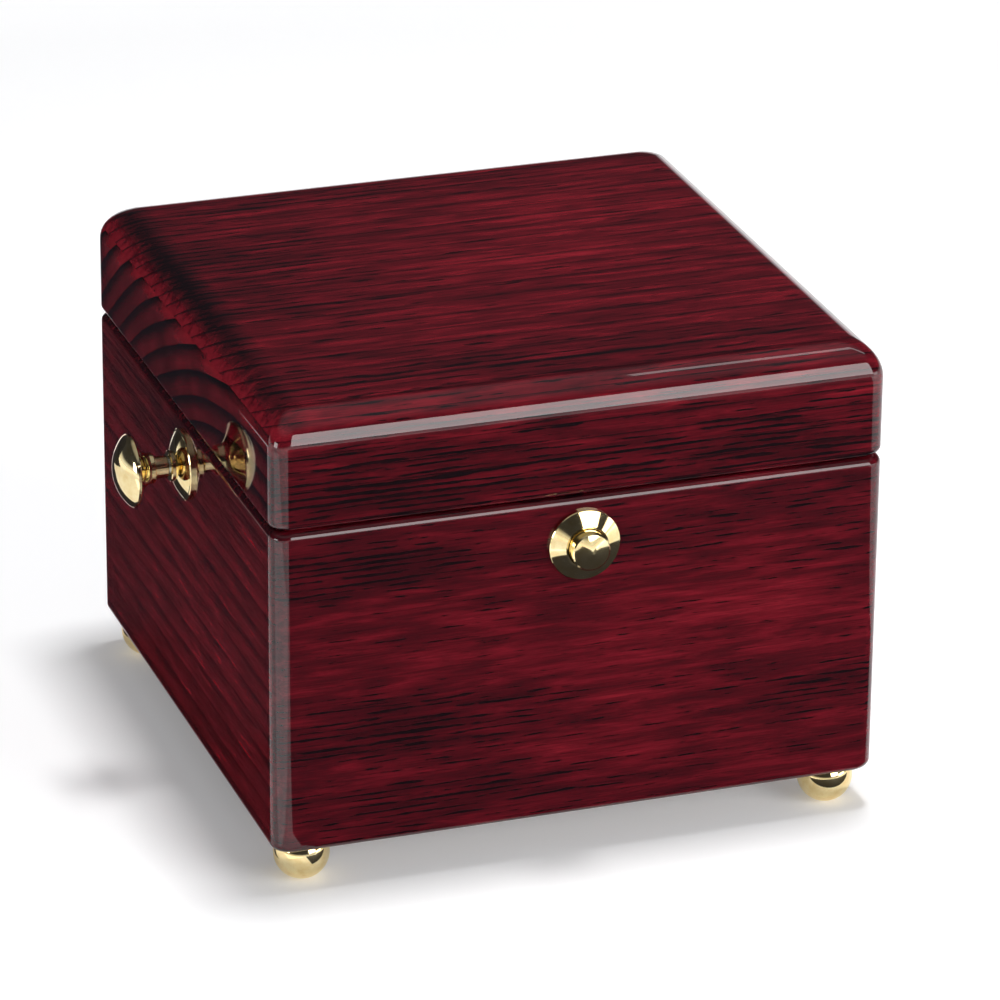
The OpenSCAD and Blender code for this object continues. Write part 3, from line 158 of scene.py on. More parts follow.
def paintedFloor():  # matt white studio board; the lift shows it white to the eye and in the polish
    finish, tree, shader = newFinish("mattWhiteBoard")
    where = addNode(tree, "ShaderNodeTexCoord")
    cloud = addNode(tree, "ShaderNodeTexNoise", {"Scale": 1 / floorLook["cloudSize"], "Detail": 1},
                    {"Vector": where.outputs["Object"]})
    tone = addNode(tree, "ShaderNodeValToRGB", {"ramp": [(0.3, floorLook["dark"]), (0.7, floorLook["pale"])]},
                   {"Fac": cloud.outputs["Fac"]})
    tree.links.new(tone.outputs["Color"], shader.inputs["Base Color"])
    shader.inputs["Roughness"].default_value = floorLook["rough"]
    shader.inputs["Specular IOR Level"].default_value = 0.0
    path = addNode(tree, "ShaderNodeLightPath")
    seen = addNode(tree, "ShaderNodeMath", {"operation": "MAXIMUM"},
                   {0: path.outputs["Is Camera Ray"], 1: path.outputs["Is Glossy Ray"]})
    seen = addNode(tree, "ShaderNodeMath", {"operation": "MAXIMUM"},
                   {0: seen.outputs[0], 1: path.outputs["Is Transmission Ray"]})
    # far from the box, where the lamps light it less, the board is lifted to full white
    reach = addNode(tree, "ShaderNodeVectorMath", {"operation": "LENGTH"}, {0: where.outputs["Object"]})
    white = addNode(tree, "ShaderNodeMapRange", {"From Min": floorLook["liftedFrom"],
                                                 "From Max": floorLook["whiteFrom"],
                                                 "To Min": floorLook["lift"], "To Max": 1.0},
                    {"Value": reach.outputs["Value"]})
    lift = addNode(tree, "ShaderNodeMath", {"operation": "MULTIPLY"},
                   {0: seen.outputs[0], 1: white.outputs[0]})
    glow = addNode(tree, "ShaderNodeEmission", {}, {"Strength": lift.outputs[0]})
    both = addNode(tree, "ShaderNodeAddShader", {}, {0: shader.outputs[0], 1: glow.outputs[0]})
    tree.links.new(both.outputs[0], tree.nodes["Material Output"].inputs["Surface"])
    return finish


bpy.ops.mesh.primitive_plane_add(size=floorLook["side"], location=(0, 0, 0))
floor = bpy.context.object
floor.name = "studioFloor"
bpy.ops.object.transform_apply(location=True, rotation=True, scale=True)
floor.data.materials.append(paintedFloor())

# one room for every kind of ray: white up to the horizon and just over it, dark walls, a pale ceiling
world = bpy.data.worlds.new("softStudio")
bpy.context.scene.world = world
world.use_nodes = True
sky = world.node_tree
facing = addNode(sky, "ShaderNodeTexCoord")
height = addNode(sky, "ShaderNodeSeparateXYZ", {}, {0: facing.outputs["Generated"]})
walls = addNode(sky, "ShaderNodeValToRGB", {"ramp": [
    (0.0, "#ffffff"), (0.05, "#f0f0f1"), (0.13, "#3a3a3e"), (0.66, "#343438"), (0.86, "#a0a0a4")]},
    {"Fac": height.outputs["Z"]})
room = sky.nodes["Background"]
sky.links.new(walls.outputs["Color"], room.inputs["Color"])
room.inputs["Strength"].default_value = 1.0


def softBox(name, place, aim, size, strength, shownIn):  # shownIn is "matt" or "polish"
    lamp = bpy.data.lights.new(name, "AREA")
    lamp.shape, (lamp.size, lamp.size_y) = "RECTANGLE", size
    lamp.energy = strength * math.pi * size[0] * size[1]  # strength alone sets how bright the panel is
    obj = bpy.data.objects.new(name, lamp)
    bpy.context.scene.collection.objects.link(obj)
    obj.location = place
    obj.rotation_euler = (Vector(place) - Vector(aim)).to_track_quat("Z", "Y").to_euler()
    obj.visible_camera = False
    obj.visible_diffuse = shownIn == "matt"
    obj.visible_glossy = shownIn == "polish"


def away(towards, distance):
    return target + Vector(towards).normalized() * distance


# two panels light the matt surfaces: a small one overhead for a short shadow, a wide one low at the right
softBox("keyOverhead", away((0.08, 0.02, 1.0), 1.4), target, size=(0.28, 0.28), strength=59, shownIn="matt")
softBox("frontRight", away((0.62, -0.78, 0.26), 1.1), target, size=(0.85, 0.42), strength=7, shownIn="matt")
# the others light nothing and show in the polish only: three strips for the edges and the catch ring,
# then a window and a lit table top on the left for the corner and the knob
softBox("frontStrip", away((0.4, -0.9, 0.36), 1.0), target, size=(0.5, 0.55), strength=6, shownIn="polish")
softBox("lowRightStrip", away((0.8, -0.6, 0.07), 1.2), target, size=(0.6, 0.16), strength=3, shownIn="polish")
softBox("ceilingStrip", (0.36, -0.02, 0.6), (0.36, -0.02, 0), size=(0.34, 0.07), strength=3, shownIn="polish")
softBox("leftWindow", away((-0.95, -0.25, 0.2), 1.3), target, size=(0.5, 0.35), strength=7, shownIn="polish")
softBox("litTable", (-0.24, -0.145, 0.002), (-0.24, -0.145, 1), size=(0.33, 0.146), strength=0.75,
        shownIn="polish")


def flag(name, corners, colour):  # a dark felt card, hidden from the eye, that only the polish mirrors
    bpy.ops.mesh.primitive_plane_add(size=1)
    card = bpy.context.object
    card.name = name
    for corner, place in zip(card.data.vertices, corners):
        corner.co = place
    finish, tree, shader = newFinish(name + "Felt")
    shader.inputs["Base Color"].default_value = toLinear(colour)
    shader.inputs["Roughness"].default_value = 1.0
    card.data.materials.append(finish)
    card.visible_camera = card.visible_diffuse = card.visible_shadow = card.visible_transmission = False


def lying(height, *corners):  # corners of a card on the floor: near left, near right, far left, far right
    return [(x, y, height) for x, y in corners]


# cards keep the white floor out of the walls' mirror images, so that the lacquer stays deep
felt = dict(front="#2e2e33", left="#2a2a32", height=0.001, backHeight=0.0015)
flag("frontFlag", lying(felt["height"], (-0.05, -0.36), (0.23, -0.36), (-0.05, -0.071), (0.17, -0.071)),
     felt["front"])
flag("farFrontFlag", lying(felt["height"], (-0.05, -0.95), (0.45, -0.95), (-0.05, -0.36), (0.22, -0.36)),
     felt["front"])
flag("leftFlag", lying(felt["height"], (-0.067, -0.058), (-0.067, 0.22), (-0.175, 0.16), (-0.175, 0.5)),
     felt["left"])
flag("backLeftFlag", lying(felt["backHeight"], (-0.5, 0.3), (-0.1, 0.24), (-0.9, 0.95), (-0.1, 0.95)),
     felt["left"])
flag("uprightFlag", [(-0.9, 0.95, 0), (-0.1, 0.95, 0), (-0.9, 0.95, 0.4), (-0.1, 0.95, 0.4)], felt["left"])
print("floor, world and lamps set")


ringUnit = 0.314  # ring textures of scale 1 have their rings this far apart, in their own units


def lacqueredWood(name, look):
    # gloss lacquer over red-stained wood: deep maroon with bands of short dark pores and redder clouds,
    # all seen through a clear level coat that mirrors what stands round the box
    # a look's place lists may also hold a painted highlight or painted shade
    finish, tree, shader = newFinish(name)
    where = addNode(tree, "ShaderNodeTexCoord")
    # from here on the coordinates are in mm, with the grain along X and the pith of the tree at the origin
    laid = addNode(tree, "ShaderNodeMapping", {"Location": look["pith"], "Scale": (1 / mm,) * 3,
                                               "Rotation": [math.radians(a) for a in look["turn"]]},
                   {"Vector": where.outputs["Object"]})

    def streaky(size, seed, detail, wander=0.0):  # size is (mm along the grain, mm across it)
        drawn = addNode(tree, "ShaderNodeMapping", {"Location": (seed, seed * 0.7, -seed),
                                                    "Scale": (1 / size[0], 1 / size[1], 1 / size[1])},
                        {"Vector": laid.outputs[0]})
        noise = addNode(tree, "ShaderNodeTexNoise", {"Scale": 1, "Detail": detail, "Roughness": 0.6,
                                                     "Distortion": wander}, {"Vector": drawn.outputs[0]})
        return noise.outputs["Fac"]

    def placed(spots, start):  # soft spots added to start, figure in most lists, painted highlight or painted shade in some: (middle in mm, reach in mm, strength)
        total = start
        for (x, y, z), (rx, ry, rz), strength in spots:
            local = addNode(tree, "ShaderNodeMapping", {"Location": (-x / rx, -y / ry, -z / rz),
                                                        "Scale": (1 / mm / rx, 1 / mm / ry, 1 / mm / rz)},
                            {"Vector": where.outputs["Object"]})
            ball = addNode(tree, "ShaderNodeTexGradient", {"gradient_type": "SPHERICAL"},
                           {"Vector": local.outputs[0]})
            total = addNode(tree, "ShaderNodeMath", {"operation": "MULTIPLY_ADD", 1: strength, 2: 0},
                            {0: ball.outputs["Fac"], **({2: total} if total else {})}).outputs[0]
        return total

    loose = addNode(tree, "ShaderNodeMapRange", {"From Min": look["bandFrom"], "From Max": look["bandFull"],
                                                 "To Min": 0.0, "To Max": look["looseBands"]},
                    {"Value": streaky(look["band"], look["bandSeed"], 2, 0.2)}).outputs[0]
    # dark figure, plus a painted highlight where a place has negative strength: it pales the ground and
    # clears the pores
    figureAndHighlightMask = placed(look["darkFigureAndPaintedHighlight"], loose)
    redness = placed(look["redFigureAndPaintedHighlight"], streaky(look["cloud"], look["cloudSeed"], 5, 0.4))
    redness = addNode(tree, "ShaderNodeMath", {"operation": "MULTIPLY_ADD", 1: -look["bandDulls"]},
                      {0: figureAndHighlightMask, 2: redness}).outputs[0]
    ground = addNode(tree, "ShaderNodeValToRGB", {"ramp": look["ground"]}, {"Fac": redness})
    # open pores filled with dark stain: short dashes in rows along the grain, crowded where the bands are,
    # and cleared where a negative place paints a highlight
    rowRoom = addNode(tree, "ShaderNodeMapping", {"Scale": (look["rowStretch"], 1, 1)},
                      {"Vector": laid.outputs[0]})
    rows = addNode(tree, "ShaderNodeTexWave", {"wave_type": "RINGS", "rings_direction": "X",
                                               "Scale": ringUnit / look["rowSpacing"], "Distortion": 5,
                                               "Detail": 3, "Detail Scale": 0.8, "Detail Roughness": 0.6},
                   {"Vector": rowRoom.outputs[0]})
    dashes = addNode(tree, "ShaderNodeMath", {"operation": "MULTIPLY_ADD", 1: look["rowWeight"]},
                     {0: rows.outputs["Fac"], 2: streaky(look["pore"], look["poreSeed"], 3, 0.1)})
    crowd = addNode(tree, "ShaderNodeMath", {"operation": "MULTIPLY_ADD", 1: look["crowding"]},
                    {0: figureAndHighlightMask, 2: dashes.outputs[0]})
    poreLine = addNode(tree, "ShaderNodeMapRange", {"From Min": look["dashFrom"], "To Min": 0.0,
                                                    "From Max": look["dashFull"],
                                                    "To Max": look["poreDepth"]},
                       {"Value": crowd.outputs[0]})
    fibre = addNode(tree, "ShaderNodeMapRange", {"From Min": look["fibreFrom"], "From Max": look["fibreFull"],
                                                 "To Min": 0.0, "To Max": look["fibreDepth"]},
                    {"Value": streaky(look["fibre"], look["fibreSeed"], 2)})
    # growth rings: each darkens slowly and ends sharply
    ringRoom = addNode(tree, "ShaderNodeMapping", {"Scale": (look["ringStretch"], 1, 1)},
                       {"Vector": laid.outputs[0]})
    rings = addNode(tree, "ShaderNodeTexWave", {"wave_type": "RINGS", "rings_direction": "X",
                                                "wave_profile": "SAW",
                                                "Scale": ringUnit / look["ringSpacing"],
                                                "Distortion": look["ringWander"], "Detail": 2.5,
                                                "Detail Scale": 0.12, "Detail Roughness": 0.55},
                    {"Vector": ringRoom.outputs[0]})
    ringLine = addNode(tree, "ShaderNodeMapRange", {"From Min": look["ringStart"], "To Min": 0.0,
                                                    "From Max": look["ringEnd"], "To Max": look["ringDepth"]},
                       {"Value": rings.outputs["Fac"]})
    dark = ringLine.outputs[0]
    # painted shade from the shade places goes straight into the dark lines
    for more in (poreLine.outputs[0], fibre.outputs[0], placed(look["paintedShadePlaces"], None)):
        if more:
            dark = addNode(tree, "ShaderNodeMath", {"operation": "ADD", "use_clamp": True},
                           {0: dark, 1: more}).outputs[0]
    stained = addNode(tree, "ShaderNodeMix", {"data_type": "RGBA", 7: toLinear(look["lineColour"])},
                      {0: dark, 6: ground.outputs["Color"]})
    tree.links.new(stained.outputs[2], shader.inputs["Base Color"])
    # the lacquer: a level coat with the faint waviness of a hand-polished one
    wave = addNode(tree, "ShaderNodeTexNoise", {"Scale": 1 / look["waviness"], "Detail": 1},
                   {"Vector": laid.outputs[0]})
    bump = addNode(tree, "ShaderNodeBump", {"Strength": look["waveStrength"], "Distance": 0.2 * mm},
                   {"Height": wave.outputs["Fac"]})
    tree.links.new(bump.outputs[0], shader.inputs["Coat Normal"])
    shader.inputs["Coat Weight"].default_value = 1.0
    shader.inputs["Roughness"].default_value = 0.55
    shader.inputs["Specular IOR Level"].default_value = 0.0
    shader.inputs["Coat Roughness"].default_value = 0.03
    shader.inputs["Coat IOR"].default_value = 1.5
    return finish


# places are in mm from the middle of the box at table height; sizes are (along the grain, across it) in mm
frontLook = dict(turn=(0, 0, 0), pith=(0, 120, 210), lineColour="#12080c",
                 cloud=(20, 2.4), cloudSeed=3.1, bandDulls=0.16,
                 band=(80, 9), bandSeed=23.3, bandFrom=0.48, bandFull=0.66, looseBands=0.32,
                 rowSpacing=1.45, rowStretch=0.12, rowWeight=0.4, crowding=0.2,
                 pore=(9, 1.5), poreSeed=41.9, dashFrom=0.92, dashFull=1.06, poreDepth=0.85,
                 fibre=(10, 0.28), fibreSeed=71.1, fibreFrom=0.35, fibreFull=0.7, fibreDepth=0.4,
                 ringSpacing=5.5, ringStretch=0.05, ringStart=0.66, ringEnd=0.98, ringWander=3,
                 ringDepth=0.12, waviness=9, waveStrength=0.04, paintedShadePlaces=[],
                 ground=[(0.3, "#3e0b13"), (0.48, "#560e18"), (0.62, "#6f131f"), (0.8, "#8a1d29")],
                 darkFigureAndPaintedHighlight=[((-38, -68, 75), (40, 12, 10), 0.9), ((-30, -68, 35), (50, 12, 11), 0.9),
                             ((-30, -68, 19), (44, 12, 8), 0.9), ((62, -68, 33), (36, 12, 7), 0.9),
                             ((22, -68, 73), (36, 12, 8), 0.6), ((60, -68, 79), (34, 12, 6), 0.7)],
                 redFigureAndPaintedHighlight=[((48, -68, 54), (46, 12, 14), 0.14), ((10, -68, 25), (34, 12, 9), 0.1),
                            ((8, -68, 46), (30, 12, 8), 0.08)])
lidLook = dict(frontLook, pith=(0, 200, 205), ringSpacing=3.6, ringStart=0.78, ringDepth=0.6, ringWander=1.8,
               ground=[(0.3, "#430b13"), (0.48, "#5f0f1a"), (0.62, "#7b1622"), (0.8, "#98202d")],
               # painted highlight: the last dark place, with negative strength, pales a bright red line along
               # the left top rounding
               darkFigureAndPaintedHighlight=[((-34, -68, 95), (50, 10, 14), 1.2), ((40, -68, 92), (60, 10, 12), 1.0),
                           ((-45, 20, 111), (34, 70, 8), 0.7), ((0, -52, 111), (90, 18, 8), 0.8),
                           ((-10, 60, 111), (60, 12, 8), 0.5), ((-62, 0, 106), (6, 160, 6), -2.5)],
               # painted shade: a dark band along the left top rounding, standing in for the dark room it
               # mirrors
               paintedShadePlaces=[((-56.5, 20, 110.5), (5.5, 120, 5.5), 0.9)],
               redFigureAndPaintedHighlight=[((20, 8, 111), (46, 17, 8), 0.14), ((48, 34, 111), (34, 15, 8), 0.14)])
lidEndLook = dict(lidLook, pith=(0, 60, 60), cloud=(30, 12), poreDepth=0.3, ringSpacing=5.6, ringStart=0.35,
                  ringDepth=1.0, ringWander=4, paintedShadePlaces=[], darkFigureAndPaintedHighlight=[],
                  # painted highlight: this red place pales the same bright red line along the left top
                  # rounding
                  redFigureAndPaintedHighlight=[((-62, 0, 106), (5, 160, 5), 0.4)],
                  ground=[(0.3, "#540d16"), (0.5, "#74131f"), (0.66, "#901a26"), (0.85, "#a82430")])
# painted light: the sides' ground is paler than the front's to make up for the weaker light on faces that
# look left or right; the grain turned across them is real
sideLookWithPaintedLight = dict(frontLook, turn=(0, 0, 90), pith=(0, 150, 260), looseBands=0.3, poreDepth=0.5, ringStart=0.4,
                ringDepth=0.5, darkFigureAndPaintedHighlight=[((-62, 20, 80), (12, 90, 18), 0.9)],
                redFigureAndPaintedHighlight=[((-62, -10, 36), (12, 60, 24), 0.08)],
                ground=[(0.3, "#641219"), (0.5, "#861924"), (0.66, "#9f222f"), (0.85, "#b52c3b")])
frontWood = lacqueredWood("redGlossLacqueredWood", frontLook)
sideWood = lacqueredWood("redGlossLacqueredWoodOnSidesWithPaintedLight", sideLookWithPaintedLight)
lidWood = lacqueredWood("redGlossLacqueredWoodOnLid", lidLook)
lidEndWood = lacqueredWood("redGlossLacqueredWoodOnLidEnds", lidEndLook)


def metal(name, look):
    finish, tree, shader = newFinish(name)
    where = addNode(tree, "ShaderNodeTexCoord")
    drawn = addNode(tree, "ShaderNodeMapping", {"Scale": look["stretch"]},
                    {"Vector": where.outputs["Object"]})
    cloud = addNode(tree, "ShaderNodeTexNoise", {"Scale": 1 / look["grain"], "Detail": 4, "Roughness": 0.6},
                    {"Vector": drawn.outputs[0]})
    tone = addNode(tree, "ShaderNodeValToRGB", {"ramp": [(0.35, look["dark"]), (0.65, look["pale"])]},
                   {"Fac": cloud.outputs["Fac"]})
    tree.links.new(tone.outputs["Color"], shader.inputs["Base Color"])
    rough = addNode(tree, "ShaderNodeMapRange", {"From Min": 0.3, "From Max": 0.7, "To Min": look["rough"][0],
                                                 "To Max": look["rough"][1]}, {"Value": cloud.outputs["Fac"]})
    tree.links.new(rough.outputs[0], shader.inputs["Roughness"])
    bump = addNode(tree, "ShaderNodeBump", {"Strength": look["bump"], "Distance": 0.1 * mm},
                   {"Height": cloud.outputs["Fac"]})
    tree.links.new(bump.outputs[0], shader.inputs["Normal"])
    shader.inputs["Metallic"].default_value = 1.0
    return finish


# brass, turned, buffed and lacquered: pale gold, mirrors the room with only faint haze
polishedBrass = metal("buffedBrass", dict(stretch=(1, 1, 1), grain=0.003, dark="#e8cf94", pale="#f3e2b0",
                                          rough=(0.05, 0.1), bump=0.01))
# rolled and brushed clock brass: softer yellow with fine lines along X, drawn coarser than real ones
movementBrass = metal("brushedClockBrass", dict(stretch=(0.08, 1, 1), grain=0.0004, dark="#bf9548",
                                                pale="#d6b067", rough=(0.22, 0.38), bump=0.12))
# drawn steel, ground bright: cool grey with fine lines along X, drawn coarser than real ones
brightSteel = metal("groundSteel", dict(stretch=(0.1, 1, 1), grain=0.0004, dark="#9a9da0", pale="#c3c5c7",
                                        rough=(0.2, 0.34), bump=0.1))
# heat-blued steel: dark blue with purple patches
bluedSteel = metal("heatBluedSteel", dict(stretch=(1, 1, 1), grain=0.002, dark="#1d2a5c", pale="#3a3f86",
                                          rough=(0.16, 0.28), bump=0.03))
# cast iron, machined and greyed: fine pits
castIron = metal("machinedCastIron", dict(stretch=(1, 1, 1), grain=0.0006, dark="#5c5f62", pale="#7d8083",
                                          rough=(0.4, 0.6), bump=0.35))
# lead: dull blue grey, soft haze
dullLead = metal("dullLead", dict(stretch=(1, 1, 1), grain=0.0008, dark="#6b7078", pale="#858a92",
                                  rough=(0.5, 0.7), bump=0.2))


softwoodLook = dict(stretch=(12, 240, 240), bump=0.2, rough=0.6,
                    colours=[(0.3, "#3a1c14"), (0.55, "#5a2f20"), (0.75, "#6e3e2a")])


def stainedWood():  # plain-sawn softwood, stained brown and left matt: broad soft figure along X
    finish, tree, shader = newFinish("stainedSoftwood")
    where = addNode(tree, "ShaderNodeTexCoord")
    drawn = addNode(tree, "ShaderNodeMapping", {"Scale": softwoodLook["stretch"]},
                    {"Vector": where.outputs["Object"]})
    figure = addNode(tree, "ShaderNodeTexNoise", {"Scale": 1, "Detail": 5, "Roughness": 0.6,
                                                  "Distortion": 0.5}, {"Vector": drawn.outputs[0]})
    tone = addNode(tree, "ShaderNodeValToRGB", {"ramp": softwoodLook["colours"]},
                   {"Fac": figure.outputs["Fac"]})
    tree.links.new(tone.outputs["Color"], shader.inputs["Base Color"])
    bump = addNode(tree, "ShaderNodeBump", {"Strength": softwoodLook["bump"], "Distance": 0.2 * mm},
                   {"Height": figure.outputs["Fac"]})
    tree.links.new(bump.outputs[0], shader.inputs["Normal"])
    shader.inputs["Roughness"].default_value = softwoodLook["rough"]
    return finish


velvetLook = dict(pile=0.6 * mm, brushed=20 * mm, bump=0.3, rough=0.9, shine=0.2, sheen=0.6, sheenRough=0.35,
                  sheenColour="#b04060", colours=[(0.12, "#2c0712"), (0.4, "#5a1026")])


def velvet():  # short-pile velvet: deep wine red, paler at a glance; the pile is drawn coarser than real
    finish, tree, shader = newFinish("shortPileVelvet")
    where = addNode(tree, "ShaderNodeTexCoord")
    pile = addNode(tree, "ShaderNodeTexNoise", {"Scale": 1 / velvetLook["pile"], "Detail": 2},
                   {"Vector": where.outputs["Object"]})
    brushed = addNode(tree, "ShaderNodeTexNoise", {"Scale": 1 / velvetLook["brushed"], "Detail": 2},
                      {"Vector": where.outputs["Object"]})
    mixed = addNode(tree, "ShaderNodeMath", {"operation": "MULTIPLY"},
                    {0: pile.outputs["Fac"], 1: brushed.outputs["Fac"]})
    tone = addNode(tree, "ShaderNodeValToRGB", {"ramp": velvetLook["colours"]}, {"Fac": mixed.outputs[0]})
    tree.links.new(tone.outputs["Color"], shader.inputs["Base Color"])
    bump = addNode(tree, "ShaderNodeBump", {"Strength": velvetLook["bump"], "Distance": 0.3 * mm},
                   {"Height": pile.outputs["Fac"]})
    tree.links.new(bump.outputs[0], shader.inputs["Normal"])
    shader.inputs["Roughness"].default_value = velvetLook["rough"]
    shader.inputs["Specular IOR Level"].default_value = velvetLook["shine"]
    shader.inputs["Sheen Weight"].default_value = velvetLook["sheen"]
    shader.inputs["Sheen Roughness"].default_value = velvetLook["sheenRough"]
    shader.inputs["Sheen Tint"].default_value = toLinear(velvetLook["sheenColour"])
    return finish


softwood, velvetPile = stainedWood(), velvet()
finishOf = {"lacquered_veneer": frontWood, "stained_wood": softwood, "velvet": velvetPile,
            "polished_brass": polishedBrass, "movement_brass": movementBrass, "steel": brightSteel,
            "blued_steel": bluedSteel, "cast_iron": castIron, "lead": dullLead}
for part in frame["record"]["subparts"]:
    node = frame["nodes"][part["node"]]
    node.data.materials.clear()
    node.data.materials.append(finishOf[part["material_slot"]])
print("finishes made")


def growBlock(name, low, high, corner, rings):  # rings are (height above the block's foot, how far in)
    centre = (low + high) / 2
    width, depth = high.x - low.x, high.y - low.y
    bpy.ops.mesh.primitive_plane_add(size=1, location=(centre.x, centre.y, low.z + rings[0][0]))
    obj = bpy.context.object
    obj.name = name
    obj.scale = (width, depth, 1)
    bpy.ops.object.transform_apply(location=True, rotation=True, scale=True)
    bpy.ops.object.mode_set(mode="EDIT")
    bpy.ops.mesh.select_all(action="SELECT")
    bpy.ops.mesh.bevel(offset=corner, segments=8, affect="VERTICES")
    bpy.ops.mesh.select_all(action="SELECT")
    lastHeight, lastInset = rings[0][0], 0
    for count, (height, inset) in enumerate(rings):
        if count:
            bpy.ops.mesh.extrude_region_move(TRANSFORM_OT_translate={"value": (0, 0, height - lastHeight)})
        bpy.ops.transform.resize(value=((width - 2 * inset) / (width - 2 * lastInset),
                                        (depth - 2 * inset) / (depth - 2 * lastInset), 1),
                                 center_override=(centre.x, centre.y, low.z + height))
        lastHeight, lastInset = height, inset
    bpy.ops.mesh.select_all(action="SELECT")
    bpy.ops.mesh.normals_make_consistent(inside=False)
    bpy.ops.object.mode_set(mode="OBJECT")
    return obj


def roundedRings(tall, lowRadius, highRadius, lowSteps, highSteps):
    rings = []
    for k in range(lowSteps + 1):
        a = math.pi / 2 * k / lowSteps
        rings.append((lowRadius * (1 - math.cos(a)), lowRadius * (1 - math.sin(a))))
    for k in range(highSteps + 1):
        a = math.pi / 2 * k / highSteps
        rings.append((tall - highRadius * (1 - math.sin(a)), highRadius * (1 - math.cos(a))))
    return rings


def dressFaces(obj, board, ends):  # the board's finish, and another where a face looks left or right
    obj.data.materials.append(board)
    obj.data.materials.append(ends)
    for face in obj.data.polygons:
        face.material_index = 1 if abs(face.normal.x) > case["endLean"] else 0


case = dict(wall=8 * mm, corner=4 * mm, lowRadius=2.2 * mm, seamRadius=1.8 * mm, roundingSteps=6,
            bottom=5 * mm, rebate=4 * mm, arborHole=3.5 * mm, catchHole=5.5 * mm, endLean=0.93)
lid = dict(topRadius=8 * mm, topSteps=12, topBoard=9 * mm)
hinge = dict(leafReach=6.5 * mm, leafThick=1.2 * mm, knuckleRoom=2.4 * mm, pinBehind=1.2 * mm)
seamMiddle = (caseHigh.z + lidLow.z) / 2
pinY = caseHigh.y + hinge["pinBehind"]
hingePlaces = [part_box("left_hinge_base_leaf"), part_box("right_hinge_base_leaf")]


def hingeCutters(low, high):  # room for the leaves between these two heights, and for the knuckles
    made = []
    for leafLow, leafHigh in hingePlaces:
        made.append(blockCutter((leafLow.x, caseHigh.y - hinge["leafReach"], low),
                                (leafHigh.x, caseHigh.y + mm, high)))
        made.append(rodCutter((leafLow.x, pinY, seamMiddle), (leafHigh.x, pinY, seamMiddle),
                              hinge["knuckleRoom"]))
    return made


caseBody = growBlock("caseBody", caseLow, caseHigh, case["corner"],
                     roundedRings(caseHigh.z - caseLow.z, case["lowRadius"], case["seamRadius"],
                                  case["roundingSteps"], case["roundingSteps"]))
inLow = caseLow + Vector((case["wall"], case["wall"], case["bottom"]))
inHigh = caseHigh - Vector((case["wall"], case["wall"], -mm))
outward = Vector((case["rebate"], case["rebate"], 0))
knobLow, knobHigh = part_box("winding_knob")
knobAxis = (knobLow + knobHigh) / 2
buttonLow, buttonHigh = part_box("catch_button")
buttonAxis = (buttonLow + buttonHigh) / 2
cut(caseBody, [blockCutter(inLow, inHigh),
               blockCutter(Vector((inLow.x, inLow.y, caseLow.z - mm)) - outward,
                           Vector((inHigh.x, inHigh.y, caseLow.z + case["bottom"])) + outward),
               rodCutter((caseLow.x - mm, knobAxis.y, knobAxis.z), (inLow.x + mm, knobAxis.y, knobAxis.z),
                         case["arborHole"]),
               rodCutter((buttonAxis.x, caseLow.y - mm, buttonAxis.z),
                         (buttonAxis.x, inLow.y + mm, buttonAxis.z), case["catchHole"])]
    + hingeCutters(caseHigh.z - hinge["leafThick"], caseHigh.z + mm))
smooth(caseBody)
dressFaces(caseBody, frontWood, sideWood)
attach(caseBody, "case")
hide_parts("front_wall", "right_wall", "back_wall", "left_wall")

lidShell = growBlock("lidShell", lidLow, lidHigh, case["corner"],
                     roundedRings(lidHigh.z - lidLow.z, case["seamRadius"], lid["topRadius"],
                                  case["roundingSteps"], lid["topSteps"]))
cut(lidShell, [blockCutter((inLow.x, inLow.y, lidLow.z - mm),
                           (inHigh.x, inHigh.y, lidHigh.z - lid["topBoard"]))]
    + hingeCutters(lidLow.z - mm, lidLow.z + hinge["leafThick"]))
smooth(lidShell)
dressFaces(lidShell, lidWood, lidEndWood)
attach(lidShell, "lid")
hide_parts("lid_top_board", "lid_front_rim", "lid_right_rim", "lid_back_rim", "lid_left_rim")
print("case and lid made")


lathe = dict(sides=72, shadeAngle=24, point=0.05)  # point is the small radius at which a profile closes


def turned(name, base, along, profile, body, node, hollow=False):
    # a ring is drawn out along the axis and resized from step to step; profile is (mm out, mm radius)
    base, along = Vector(base), Vector(along)
    out, radius = profile[0]
    bpy.ops.mesh.primitive_circle_add(vertices=lathe["sides"], radius=radius * mm,
                                      fill_type="NOTHING" if hollow else "NGON",
                                      location=base + along * out * mm,
                                      rotation=along.to_track_quat("Z", "Y").to_euler())
    obj = bpy.context.object
    obj.name = name
    bpy.ops.object.transform_apply(location=True, rotation=True, scale=True)
    bpy.ops.object.mode_set(mode="EDIT")
    bpy.ops.mesh.select_all(action="SELECT")
    for nextOut, nextRadius in profile[1:]:
        bpy.ops.mesh.extrude_region_move(TRANSFORM_OT_translate={"value": along * (nextOut - out) * mm})
        bpy.ops.transform.resize(value=(nextRadius / radius,) * 3,
                                 center_override=base + along * nextOut * mm)
        out, radius = nextOut, nextRadius
    if hollow:
        bpy.ops.mesh.select_all(action="DESELECT")
        bpy.ops.mesh.select_non_manifold(extend=False)
        bpy.ops.mesh.bridge_edge_loops()
    bpy.ops.mesh.select_all(action="SELECT")
    bpy.ops.mesh.normals_make_consistent(inside=False)
    bpy.ops.object.mode_set(mode="OBJECT")
    only(obj)
    bpy.ops.object.shade_smooth_by_angle(angle=math.radians(lathe["shadeAngle"]))
    obj.data.materials.append(polishedBrass)
    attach(obj, body)
    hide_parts(node)


def arc(centreOut, radius, fromRadius, toRadius, steps):  # points on a sphere centred on the axis, in mm
    first, last = math.asin(fromRadius / radius), math.asin(toRadius / radius)
    angles = [first + (last - first) * k / steps for k in range(steps + 1)]
    return [(centreOut + radius * math.cos(a), radius * math.sin(a)) for a in angles]


